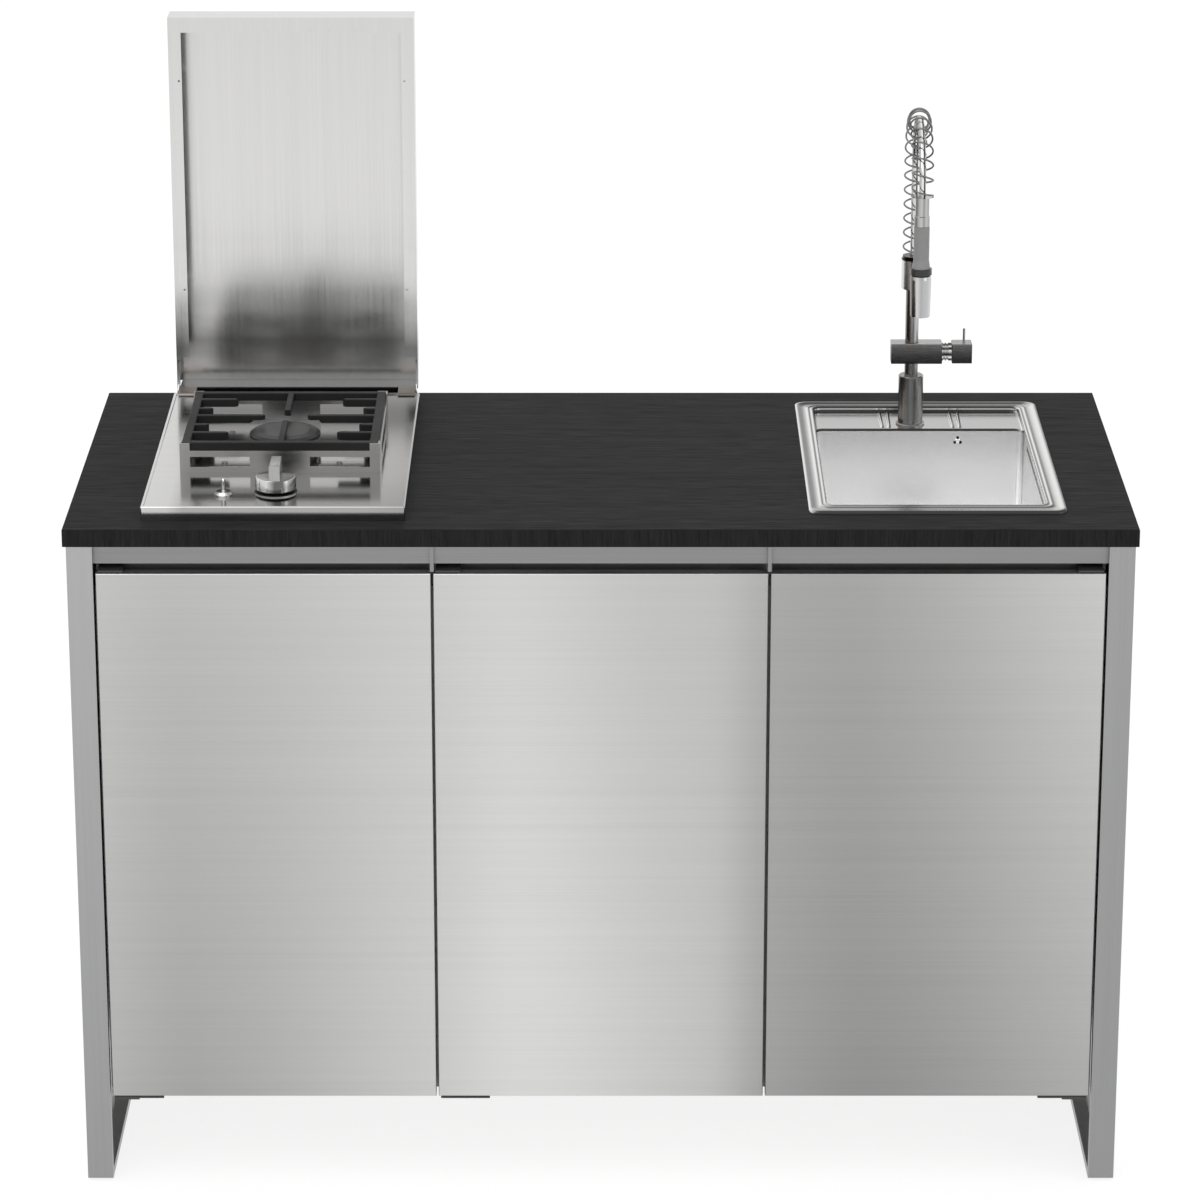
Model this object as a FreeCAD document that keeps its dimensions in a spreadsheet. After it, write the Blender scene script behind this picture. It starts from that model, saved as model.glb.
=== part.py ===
"""Kitchenette unit: three-door base cabinet between two flat-bar side frames, with a worktop that
carries a one-burner hob under a hinged lid and a sink with a spring-neck mixer tap.

Frame: +Z up, +X to the right seen from the front, the front faces -Y. The origin is on the floor
under the middle of the worktop. Millimetres.
"""
import FreeCAD, Part
import Sketcher
import math
import os

Vec = FreeCAD.Vector

# ---------------------------------------------------------------- driving dimensions
SIZES = {
    # whole unit
    "unit_width": 1400.0, "worktop_depth": 650.0, "unit_height": 930.0, "worktop_thickness": 24.0,
    "worktop_edge_round": 1.2,
    # side frames
    "frame_inset": 4.0, "frame_setback": 6.0, "frame_width": 34.0, "frame_bar": 12.0,
    "frame_round": 6.0, "infill_offset": 19.0, "infill_sheet": 2.0,
    "glide_height": 3.0, "glide_radius": 12.0, "glide_from_end": 45.0,
    # carcass
    "board": 18.0, "back_board": 8.0, "carcass_bottom": 130.0, "carcass_wall_gap": 25.0,
    "shelf_height": 480.0, "shelf_setback": 24.0, "shelf_gap": 1.0, "cleat": 14.0,
    # doors
    "door_gap": 3.0, "door_thickness": 18.0, "door_bottom": 126.0, "door_height": 742.0,
    "door_skin": 1.2, "door_round": 2.5, "door_buffer_gap": 5.0,
    "pivot_from_edge": 11.0, "pivot_radius": 4.0, "pivot_fit": 0.08, "pivot_reach": 14.0,
    "bracket_sheet": 2.5, "bracket_length": 66.0, "bracket_gap": 1.0, "bracket_lip": 33.0,
    "bracket_setback": 2.0, "bracket_depth": 30.0, "bracket_seat": 4.0, "bracket_hang": 2.0,
    "catch_width": 40.0, "catch_height": 14.0, "catch_gap": 0.5, "catch_drop": 8.0,
    "catch_from_edge": 60.0,
    # recessed rail above the doors
    "rail_height": 27.0, "rail_setback": 10.0, "rail_sheet": 1.5, "rail_reach": 32.0,
    "rail_drop": 34.0, "strip_width": 5.0, "strip_drop": 11.0,
    # hob
    "hob_x": -428.0, "hob_width": 346.0, "hob_front": -288.0, "hob_depth": 543.0,
    "hob_height": 20.0, "hob_rim": 4.0, "hob_dish": 2.0, "hob_sheet": 1.5, "hob_round": 2.5,
    "hob_lap": 12.0, "hob_box_gap": 1.0, "hob_box_sheet": 1.2, "hob_box_drop": 62.0,
    "burner_y": -10.5, "cap_radius": 48.0, "cap_height": 9.0, "crown_radius": 40.0,
    "crown_height": 14.0, "crown_slots": 32.0, "slot_width": 2.2, "cup_flange": 46.0,
    "cup_flange_height": 3.0, "cup_radius": 26.0, "cup_drop": 34.0, "burner_play": 0.3,
    "pan_frame_width": 267.0, "pan_frame_front": -127.0, "pan_frame_depth": 256.0,
    "pan_frame_height": 30.0, "pan_tab_height": 40.0, "pan_tab_width": 13.5,
    "pan_sheet": 2.0, "pan_shelf": 9.0, "window_width": 80.0, "window_low": 7.5,
    "window_height": 14.0, "side_window_from_end": 60.0, "grate_play": 0.6, "grate_bar": 11.0,
    "grate_height": 10.5, "grate_round": 1.2, "finger_width": 8.0, "finger_point": 4.0,
    "cap_clear": 4.0, "front_bar_end": 6.0, "back_bar_end": 43.0,
    "probe_radius": 2.2, "probe_side": 5.0, "probe_front": 26.0,
    "spark_height": 14.0, "sensor_height": 13.0, "probe_foot": 14.0,
    "knob_y": -216.0, "knob_radius": 27.0, "knob_skirt": 17.0, "knob_top": 36.5,
    "knob_lift": 5.5, "knob_bar": 14.8, "knob_travel": 2.5, "knob_round": 1.6,
    "knob_mark": 3.0, "knob_mark_height": 6.0, "knob_mark_depth": 0.6,
    "valve_width": 30.0, "valve_depth": 34.0, "valve_drop": 42.0, "valve_collar": 11.0,
    "valve_collar_height": 4.0, "valve_foot": 18.0, "pipe_drop": 30.0, "feed_radius": 4.0,
    "feed_side": 30.0, "feed_bend": 8.0, "inlet_radius": 5.0, "inlet_side": 90.0,
    "inlet_bend": 20.0, "inlet_from_back": 40.0, "inlet_stub": 30.0, "ring_radius": 28.2,
    "ring_height": 2.4, "spindle_radius": 4.0, "spindle_flat": 2.6, "spindle_fit": 0.06,
    "igniter_x": -496.0, "igniter_y": -229.0, "igniter_radius": 3.0, "igniter_height": 22.0,
    "igniter_collar": 12.5, "collar_height": 5.0,
    # lid
    "lid_width": 340.0, "lid_top": 1481.0, "lid_axis_y": 267.0, "lid_axis_z": 946.0,
    "lid_lip_plane": 8.0, "lid_depth": 46.0, "lid_start": 4.0, "lid_sheet": 1.2,
    "lid_side_lip": 18.0, "lid_end_lip": 21.0, "lid_lip_start": 50.0, "lid_pin_radius": 3.0,
    "lid_pin_fit": 0.05, "lid_ear": 2.0, "lid_ear_gap": 0.5, "lid_round": 1.6,
    "ear_reach": 6.0, "ear_back": 24.0, "ear_top": 38.0, "hinge_block": 24.0,
    "hinge_block_front": 10.0, "hinge_block_back": 13.0, "hinge_block_rise": 21.5,
    "hinge_toe_front": 20.0, "hinge_toe_low": 20.4,
    "pin_sunk": 12.0, "cover_height": 19.4, "cover_sheet": 1.5, "cover_front": 282.0,
    "cover_depth": 37.0, "lip_hole": 1.4, "side_hole_in": 14.0, "side_hole_high": 89.0,
    "side_hole_low": 387.0, "end_hole_drop": 17.0,
    # sink
    "sink_x": 443.0, "sink_width": 340.0, "sink_front": -256.0, "sink_depth": 523.0,
    "sink_round": 14.0, "sink_rim": 4.0, "sink_sheet": 1.5, "sink_lap": 14.0,
    "rim_roll": 9.0, "rim_groove": 6.0, "groove_depth": 1.2,
    "bowl_width": 289.0, "bowl_front": -221.0, "bowl_length": 378.0, "bowl_drop": 152.0,
    "bowl_round": 12.0, "bowl_foot": 10.0, "ledge_width": 289.0,
    "ledge_back": 244.0, "ledge_round": 8.0, "ledge_drop": 5.0,
    "wall_slot_front": -186.0, "wall_slot_back": 88.0, "wall_slot_low": 15.0,
    "wall_slot_high": 12.0, "wall_slot_depth": 0.7,
    "rib_width": 13.0, "rib_height": 2.0, "rib_left": 397.0, "rib_right": 495.0,
    "waste_radius": 44.0, "waste_fit": 0.4, "strainer_radius": 33.0, "trap_radius": 20.0,
    "trap_drop": 150.0, "trap_cup": 34.0, "outlet_radius": 18.0, "outlet_stub": 15.0,
    "overflow_x": 497.0, "overflow_drop": 26.0, "overflow_radius": 9.0,
    # tap
    "tap_x": 432.0, "tap_y": 185.0, "tap_base_radius": 17.3, "tap_base_height": 71.0,
    "foot_radius": 20.0, "foot_height": 3.0, "shank_radius": 15.0, "shank_drop": 70.0,
    "shank_fit": 0.3, "nut_radius": 24.0, "nut_height": 10.0,
    "riser_radius": 9.3, "mixer_height": 104.0, "mixer_depth": 26.0, "mixer_rise": 28.8, "mixer_left": 29.0,
    "mixer_right": 42.0, "neck_length": 13.0, "neck_radius": 12.5, "handle_length": 28.0,
    "handle_depth": 25.2, "handle_rise": 27.8, "mixer_round": 1.0, "lever_radius": 1.8,
    "lever_length": 20.0, "spigot_radius": 7.0,
    "spigot_depth": 12.0, "spigot_fit": 0.05, "swivel_gap": 0.5,
    "holder_low": 195.0, "holder_high": 242.0, "holder_radius": 16.3, "holder_cap": 4.0,
    "arch_height": 370.0, "arch_reach": 160.0, "spring_radius": 14.2, "spring_wire": 1.3,
    "spring_turns": 19.0, "hose_radius": 4.8,
    "bell_low": 198.0, "bell_height": 58.0, "bell_radius": 14.3, "dock_height": 8.0,
    "dock_radius": 14.8, "dock_play": 0.3, "grip_height": 58.0, "grip_radius": 10.6,
    "grip_foot": 12.0, "collar_low_height": 15.0, "collar_low_radius": 10.3,
    "collar_high_height": 26.0, "collar_high_radius": 9.4, "spring_seat": 3.0,
    "arm_width": 9.0, "arm_height": 8.0,
    # fasteners
    "screw_radius": 2.0, "screw_head": 4.0, "screw_head_height": 1.6, "screw_length": 16.0,
    "screw_fit": 0.05, "screw_x": 77.0, "screw_y": 72.0,
}

# ---------------------------------------------------------------- places worked out from the sizes
PLACES = {
    "half_width": "unit_width / 2",
    "front": "-worktop_depth / 2",
    "back": "worktop_depth / 2",
    "deck": "unit_height",
    "deck_under": "unit_height - worktop_thickness",
    "frame_out": "half_width - frame_inset",
    "frame_in": "frame_out - frame_width",
    "frame_front": "front + frame_setback",
    "frame_back": "-frame_front",
    "side_in": "frame_in - board",
    "door_width": "(2 * frame_in - 4 * door_gap) / 3",
    "door_pitch": "door_width + door_gap",
    "door_back": "frame_front + door_thickness",
    "door_top": "door_bottom + door_height",
    "carcass_front": "door_back + door_buffer_gap",
    "carcass_back": "back - carcass_wall_gap",
    "carcass_floor": "carcass_bottom + board",
    "back_front": "carcass_back - back_board",
    "divider_x": "door_pitch / 2",
    "pivot_y": "frame_front + door_thickness / 2 - 0.5",
    "rail_bottom": "deck_under - rail_height",
    "rail_front": "frame_front + rail_setback",
    "rail_back": "rail_front + rail_reach",
    "hob_left": "hob_x - hob_width / 2",
    "hob_right": "hob_x + hob_width / 2",
    "hob_back": "hob_front + hob_depth",
    "hob_top": "deck + hob_height",
    "hob_panel": "hob_top - hob_dish",
    "hob_inside": "hob_panel - hob_sheet",
    "pan_left": "hob_x - pan_frame_width / 2",
    "pan_right": "hob_x + pan_frame_width / 2",
    "pan_back": "pan_frame_front + pan_frame_depth",
    "pan_seat": "hob_panel + pan_frame_height",
    "crown_low": "hob_panel + cup_flange_height",
    "cap_low": "crown_low + crown_height",
    "knob_low": "hob_panel + knob_lift",
    "lid_front_open": "lid_axis_y + lid_lip_plane",
    "lid_back_open": "lid_front_open + lid_depth",
    "lid_low": "lid_axis_z + lid_start",
    "lid_left": "hob_x - lid_width / 2",
    "lid_right": "hob_x + lid_width / 2",
    "sink_left": "sink_x - sink_width / 2",
    "sink_right": "sink_x + sink_width / 2",
    "sink_back": "sink_front + sink_depth",
    "sink_top": "deck + sink_rim",
    "ledge_top": "deck - ledge_drop",
    "bowl_back": "bowl_front + bowl_length",
    "bowl_floor": "sink_top - bowl_drop",
    "bowl_y": "bowl_front + bowl_length / 2",
    "mixer_z": "ledge_top + mixer_height",
    "mixer_left_x": "tap_x - mixer_left",
    "mixer_right_x": "tap_x + mixer_right",
    "handle_x": "mixer_right_x + neck_length + swivel_gap",
    "mixer_top": "mixer_z + mixer_rise / 2",
    "riser_low": "mixer_top + swivel_gap",
    "holder_z": "ledge_top + holder_low",
    "holder_top": "ledge_top + holder_high",
    "arch_z": "ledge_top + arch_height",
    "spray_y": "tap_y - arch_reach",
    "bell_z": "ledge_top + bell_low",
    "dock_z": "bell_z + bell_height + dock_play",
    "grip_z": "dock_z + dock_height + dock_play",
    "collar_z": "grip_z + grip_height",
    "collar_top": "collar_z + collar_low_height + collar_high_height",
    "spring_end_z": "collar_top + spring_seat",
}

doc = FreeCAD.newDocument("kitchenette")


def make_sheet(name, rows):
    """A spreadsheet with one named value on each row."""
    sheet = doc.addObject("Spreadsheet::Sheet", name)
    for row, (alias, content) in enumerate(rows.items(), start=1):
        sheet.set(f"A{row}", alias)
        sheet.set(f"B{row}", content if isinstance(content, str) else str(content))
        sheet.setAlias(f"B{row}", alias)
    return sheet


def bind(text):
    """The expression with each named value written as its spreadsheet's own name."""
    words = []
    word = ""
    for letter in str(text) + " ":
        if letter.isalnum() or letter in "_.":
            word += letter
            continue
        if word in SIZES:
            word = "Sizes." + word
        elif word in PLACES:
            word = "Places." + word
        words.append(word + letter)
        word = ""
    return "".join(words).strip()


sizes_sheet = make_sheet("Sizes", SIZES)
doc.recompute()
places_sheet = make_sheet("Places", {alias: "=" + bind(text) for alias, text in PLACES.items()})
doc.recompute()


def num(alias):
    """The value of one named size or place."""
    return float((sizes_sheet if alias in SIZES else places_sheet).get(alias))


# ---------------------------------------------------------------- small building helpers
NODES = []
PLANES = {"XY": "XY_Plane", "XZ": "XZ_Plane", "YZ": "YZ_Plane"}


def keep(obj, label):
    """Marks an object as one of the sub-parts that are written out."""
    obj.Label = label
    NODES.append(obj)
    return obj


def body(label):
    return keep(doc.addObject("PartDesign::Body", label), label)


def sketch(owner, plane, level):
    """An empty sketch on one of the body's own origin planes, moved along the plane's normal."""
    made = owner.newObject("Sketcher::SketchObject", owner.Name + "_sketch")
    role = PLANES[plane]
    support = next(item for item in owner.Origin.OriginFeatures if item.Role == role)
    made.AttachmentSupport = [(support, "")]
    made.MapMode = "FlatFace"
    made.setExpression("AttachmentOffset.Base.z", bind(level))
    return made


def place_point(made, geometry, vertex, x, y):
    """Holds one point of a sketch at an x and a y that are expressions."""
    for kind, text in (("DistanceX", x), ("DistanceY", y)):
        index = made.addConstraint(Sketcher.Constraint(kind, -1, 1, geometry, vertex, 1.0))
        made.setExpression(f"Constraints[{index}]", bind(text))


def draw_polygon(made, points):
    """A closed outline of straight lines through points given as pairs of expressions."""
    count = len(points)
    first = made.GeometryCount
    ring = [Vec(10 * math.cos(2 * math.pi * i / count), 10 * math.sin(2 * math.pi * i / count), 0)
            for i in range(count)]
    for i in range(count):
        made.addGeometry(Part.LineSegment(ring[i], ring[(i + 1) % count]), False)
    for i in range(count):
        after = first + (i + 1) % count
        made.addConstraint(Sketcher.Constraint("Coincident", first + i, 2, after, 1))
    for i, (x, y) in enumerate(points):
        place_point(made, first + i, 1, x, y)


def draw_rectangle(made, x0, x1, y0, y1):
    draw_polygon(made, [(x0, y0), (x1, y0), (x1, y1), (x0, y1)])


def draw_circle(made, x, y, radius):
    index = made.addGeometry(Part.Circle(Vec(0, 0, 0), Vec(0, 0, 1), 5.0), False)
    place_point(made, index, 3, x, y)
    held = made.addConstraint(Sketcher.Constraint("Radius", index, 5.0))
    made.setExpression(f"Constraints[{held}]", bind(radius))


def pad(owner, plane, low, high, draw):
    """Adds a prism between two levels along the plane's axis; draw(sketch) sets its outline."""
    level = f"-({high})" if plane == "XZ" else low
    made = sketch(owner, plane, level)
    draw(made)
    feature = owner.newObject("PartDesign::Pad", owner.Name + "_pad")
    feature.Profile = made
    feature.setExpression("Length", bind(f"({high}) - ({low})"))
    doc.recompute()
    return feature


def pocket(owner, plane, low, high, draw):
    """Cuts a prism between two levels along the plane's axis and checks that it cut."""
    before = owner.Shape.Volume
    level = f"-({low})" if plane == "XZ" else high
    made = sketch(owner, plane, level)
    draw(made)
    feature = owner.newObject("PartDesign::Pocket", owner.Name + "_pocket")
    feature.Profile = made
    feature.Reversed = False
    feature.setExpression("Length", bind(f"({high}) - ({low})"))
    doc.recompute()
    if owner.Shape.Volume >= before:
        raise RuntimeError(f"a cut in {owner.Label} removes nothing")
    return feature


def box_of(x0, x1, y0, y1):
    return lambda made: draw_rectangle(made, x0, x1, y0, y1)


def circle_of(x, y, radius):
    return lambda made: draw_circle(made, x, y, radius)


def outline_of(points):
    return lambda made: draw_polygon(made, points)


def circles_of(centres, radius):
    """Several circles of one radius."""
    def draw(made):
        for x, y in centres:
            draw_circle(made, x, y, radius)
    return draw


def ring_of(x0, x1, y0, y1, width):
    """The band of a width inside a rectangle's edge."""
    def draw(made):
        draw_rectangle(made, x0, x1, y0, y1)
        draw_rectangle(made, f"{x0} + {width}", f"{x1} - {width}", f"{y0} + {width}", f"{y1} - {width}")
    return draw


def round_edges(owner, radius, pick):
    """Rounds those edges of the body so far that pick(edge) chooses."""
    base = owner.Tip
    names = [f"Edge{i + 1}" for i, edge in enumerate(base.Shape.Edges) if pick(edge)]
    if not names:
        raise RuntimeError(f"no edge to round in {owner.Label}")
    feature = owner.newObject("PartDesign::Fillet", owner.Name + "_round")
    feature.Base = (base, names)
    feature.setExpression("Radius", bind(radius))
    doc.recompute()
    return feature


def span(edge, axis):
    """How far an edge reaches along X, Y or Z (0, 1, 2)."""
    bounds = edge.BoundBox
    return (bounds.XLength, bounds.YLength, bounds.ZLength)[axis]


def along(edge, axis):
    """Whether an edge is straight along one axis."""
    others = [span(edge, other) for other in range(3) if other != axis]
    return span(edge, axis) > 0.5 and max(others) < 1e-4


def turned(label, profile, x, y, z, turn=None):
    """A body of revolution: profile holds (radius, height) pairs about its own Z axis."""
    made_body = body(label)
    made = sketch(made_body, "XZ", "0")
    draw_polygon(made, profile)
    feature = made_body.newObject("PartDesign::Revolution", label + "_turned")
    feature.Profile = made
    feature.ReferenceAxis = (made, ["V_Axis"])
    feature.Angle = 360
    if turn is not None:
        made_body.Placement = FreeCAD.Placement(Vec(0, 0, 0), turn)
    for axis, text in (("x", x), ("y", y), ("z", z)):
        made_body.setExpression(f"Placement.Base.{axis}", bind(text))
    doc.recompute()
    return made_body


def block(name, x0, x1, y0, y1, z0, z1):
    """A rectangular block between six expressions."""
    made = doc.addObject("Part::Box", name)
    for size, low, high in (("Length", x0, x1), ("Width", y0, y1), ("Height", z0, z1)):
        made.setExpression(size, bind(f"({high}) - ({low})"))
    for axis, text in (("x", x0), ("y", y0), ("z", z0)):
        made.setExpression(f"Placement.Base.{axis}", bind(text))
    return made


def rod(name, radius, length, x, y, z, turn=None):
    """A round bar from the point x, y, z along its own axis."""
    made = doc.addObject("Part::Cylinder", name)
    made.setExpression("Radius", bind(radius))
    made.setExpression("Height", bind(length))
    if turn is not None:
        made.Placement = FreeCAD.Placement(Vec(0, 0, 0), turn)
    for axis, text in (("x", x), ("y", y), ("z", z)):
        made.setExpression(f"Placement.Base.{axis}", bind(text))
    return made


def group(label, members):
    """Separate solids that share one node."""
    made = doc.addObject("Part::Compound", label)
    made.Links = members
    return keep(made, label)


def cut(name, base, tool):
    made = doc.addObject("Part::Cut", name)
    made.Base = base
    made.Tool = tool
    return made


def fuse(name, members):
    made = doc.addObject("Part::MultiFuse", name)
    made.Shapes = members
    made.Refine = True
    return made


ALONG_X = FreeCAD.Rotation(Vec(0, 1, 0), 90)


# ---------------------------------------------------------------- side frames
def side_frame(label, x0, x1):
    """A closed loop of flat bar: floor bar, two uprights and a bar under the worktop."""
    made = body(label)
    pad(made, "YZ", x0, x1, box_of("frame_front", "frame_back", "glide_height", "deck_under"))
    round_edges(made, "frame_round", lambda e: along(e, 0) and e.BoundBox.ZMax < num("frame_bar"))
    pocket(made, "YZ", x0, x1, box_of("frame_front + frame_bar", "frame_back - frame_bar",
                                     "glide_height + frame_bar", "deck_under - frame_bar"))
    return made


side_frame("side_frame_left", "-frame_out", "-frame_in")
side_frame("side_frame_right", "frame_in", "frame_out")

# thin sheets that close the loops
infill = []
for side, name in ((-1, "left"), (1, "right")):
    near = f"{side} * (frame_in + infill_offset)"
    far = f"{side} * (frame_in + infill_offset + infill_sheet)"
    x0, x1 = (far, near) if side < 0 else (near, far)
    infill.append(block(f"infill_{name}", x0, x1,
                        "frame_front + frame_bar", "frame_back - frame_bar",
                        "glide_height + frame_bar", "deck_under - frame_bar"))
group("side_infill_panels", infill)

glides = []
for side in (-1, 1):
    for end in ("frame_front + glide_from_end", "frame_back - glide_from_end"):
        glides.append(rod(f"glide_{len(glides)}", "glide_radius", "glide_height",
                          f"{side} * (frame_in + frame_width / 2)", end, "0"))
group("floor_glides", glides)

# ---------------------------------------------------------------- worktop
worktop = body("worktop")
pad(worktop, "XY", "deck_under", "deck", box_of("-half_width", "half_width", "front", "back"))
pocket(worktop, "XY", "deck_under", "deck",
       box_of("hob_left + hob_lap", "hob_right - hob_lap", "hob_front + hob_lap", "hob_back - hob_lap"))
pocket(worktop, "XY", "deck_under", "deck",
       box_of("sink_left + sink_lap", "sink_right - sink_lap",
              "sink_front + sink_lap", "sink_back - sink_lap"))
round_edges(worktop, "worktop_edge_round",
            lambda e: (along(e, 0) and abs(abs(e.BoundBox.YMax) - num("back")) < 0.01)
            or (along(e, 1) and abs(abs(e.BoundBox.XMax) - num("half_width")) < 0.01))


# ---------------------------------------------------------------- carcass
NOTCH_PLAY = 1.0


def upright(label, x0, x1):
    """A board from the carcass floor level to the worktop, notched in front for the grip rail."""
    made = doc.addObject("PartDesign::Body", label)
    low = "carcass_bottom" if "side" in label else "carcass_floor"
    far = "carcass_back" if "side" in label else "back_front"
    pad(made, "YZ", x0, x1, outline_of([
        ("carcass_front", low), (far, low), (far, "deck_under"),
        (f"rail_back + {NOTCH_PLAY}", "deck_under"),
        (f"rail_back + {NOTCH_PLAY}", f"rail_bottom - rail_drop - {NOTCH_PLAY}"),
        ("carcass_front", f"rail_bottom - rail_drop - {NOTCH_PLAY}")]))
    return made


group("carcass_sides", [upright("side_board_left", "-frame_in", "-side_in"),
                        upright("side_board_right", "side_in", "frame_in")])
group("dividers", [upright("divider_left", "-divider_x - board / 2", "-divider_x + board / 2"),
                   upright("divider_right", "divider_x - board / 2", "divider_x + board / 2")])

bottom_panel = body("bottom_panel")
pad(bottom_panel, "XY", "carcass_bottom", "carcass_floor",
    box_of("-side_in", "side_in", "carcass_front", "carcass_back"))
back_panel = body("back_panel")
pad(back_panel, "XY", "carcass_floor", "deck_under",
    box_of("-side_in", "side_in", "back_front", "carcass_back"))

# bent sheet rail above each door: face, floor of the finger recess and its back
rails = []
rail_ends = [("-frame_in", "-divider_x - strip_width / 2"),
             ("-divider_x + strip_width / 2", "divider_x - strip_width / 2"),
             ("divider_x + strip_width / 2", "frame_in")]
for index, (x0, x1) in enumerate(rail_ends):
    rail = doc.addObject("PartDesign::Body", f"rail_{index}")
    pad(rail, "YZ", x0, x1, outline_of([
        ("rail_front", "rail_bottom"), ("rail_back - rail_sheet", "rail_bottom"),
        ("rail_back - rail_sheet", "rail_bottom - rail_drop"),
        ("rail_back", "rail_bottom - rail_drop"),
        ("rail_back", "rail_bottom + rail_sheet"),
        ("rail_front + rail_sheet", "rail_bottom + rail_sheet"),
        ("rail_front + rail_sheet", "deck_under - rail_sheet"),
        ("rail_back", "deck_under - rail_sheet"), ("rail_back", "deck_under"),
        ("rail_front", "deck_under")]))
    rails.append(rail)
for side in (-1, 1):
    rails.append(block(f"strip_{side + 1}", f"{side} * divider_x - strip_width / 2",
                       f"{side} * divider_x + strip_width / 2", "rail_front - rail_setback + 2",
                       "rail_back", "rail_bottom - strip_drop + 2", "deck_under"))
group("grip_rails", rails)

shelf = body("shelf")
pad(shelf, "XY", "shelf_height", "shelf_height + board",
    box_of("-divider_x + board / 2 + shelf_gap", "divider_x - board / 2 - shelf_gap",
           "carcass_front + shelf_setback", "back_front - shelf_gap"))
cleats = []
for side in (-1, 1):
    wall = f"{side} * (divider_x - board / 2)"
    inner = f"{side} * (divider_x - board / 2 - cleat)"
    x0, x1 = (wall, inner) if side < 0 else (inner, wall)
    cleats.append(block(f"cleat_{side + 1}", x0, x1, "carcass_front + shelf_setback + cleat",
                        "back_front", "shelf_height - cleat", "shelf_height"))
group("shelf_cleats", cleats)

# ---------------------------------------------------------------- doors and their pivots
# each row: name, how many doors to its left, side of the pivots (-1 left, 1 right)
DOORS = (("left", 0, -1), ("middle", 1, -1), ("right", 2, 1))


def door_left_edge(place):
    return f"(-frame_in + door_gap + {place} * door_pitch)"


def pivot_x(place, side):
    edge = door_left_edge(place)
    if side < 0:
        return f"({edge} + pivot_from_edge)"
    return f"({edge} + door_width - pivot_from_edge)"


def door(name, place, side):
    """A folded steel pan with a board inside, bored above and below for its two pivots."""
    left = door_left_edge(place)
    right = f"{left} + door_width"
    bore = circle_of(pivot_x(place, side), "pivot_y", "pivot_radius + pivot_fit")
    skin = body(f"door_skin_{name}")
    pad(skin, "XY", "door_bottom", "door_top", box_of(left, right, "frame_front", "door_back"))
    round_edges(skin, "door_round",
                lambda e: along(e, 2) or (along(e, 0)
                                          and e.BoundBox.YMax < num("door_back") - 0.01))
    pocket(skin, "XY", "door_bottom + door_skin", "door_top - door_skin",
           box_of(f"{left} + door_skin", f"{right} - door_skin",
                  "frame_front + door_skin", "door_back - door_skin"))
    pocket(skin, "XZ", "door_back - door_skin", "door_back",
           box_of(f"{left} + 3 * door_skin", f"{right} - 3 * door_skin",
                  "door_bottom + 3 * door_skin", "door_top - 3 * door_skin"))
    pocket(skin, "XY", "door_bottom", "door_bottom + door_skin", bore)
    pocket(skin, "XY", "door_top - door_skin", "door_top", bore)
    core = body(f"door_core_{name}")
    pad(core, "XY", "door_bottom + door_skin", "door_top - door_skin",
        box_of(f"{left} + door_skin", f"{right} - door_skin",
               "frame_front + door_skin", "door_back - door_skin"))
    pocket(core, "XY", "door_bottom + door_skin", "door_bottom + pivot_reach + 1", bore)
    pocket(core, "XY", "door_top - pivot_reach - 1", "door_top - door_skin", bore)


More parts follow.
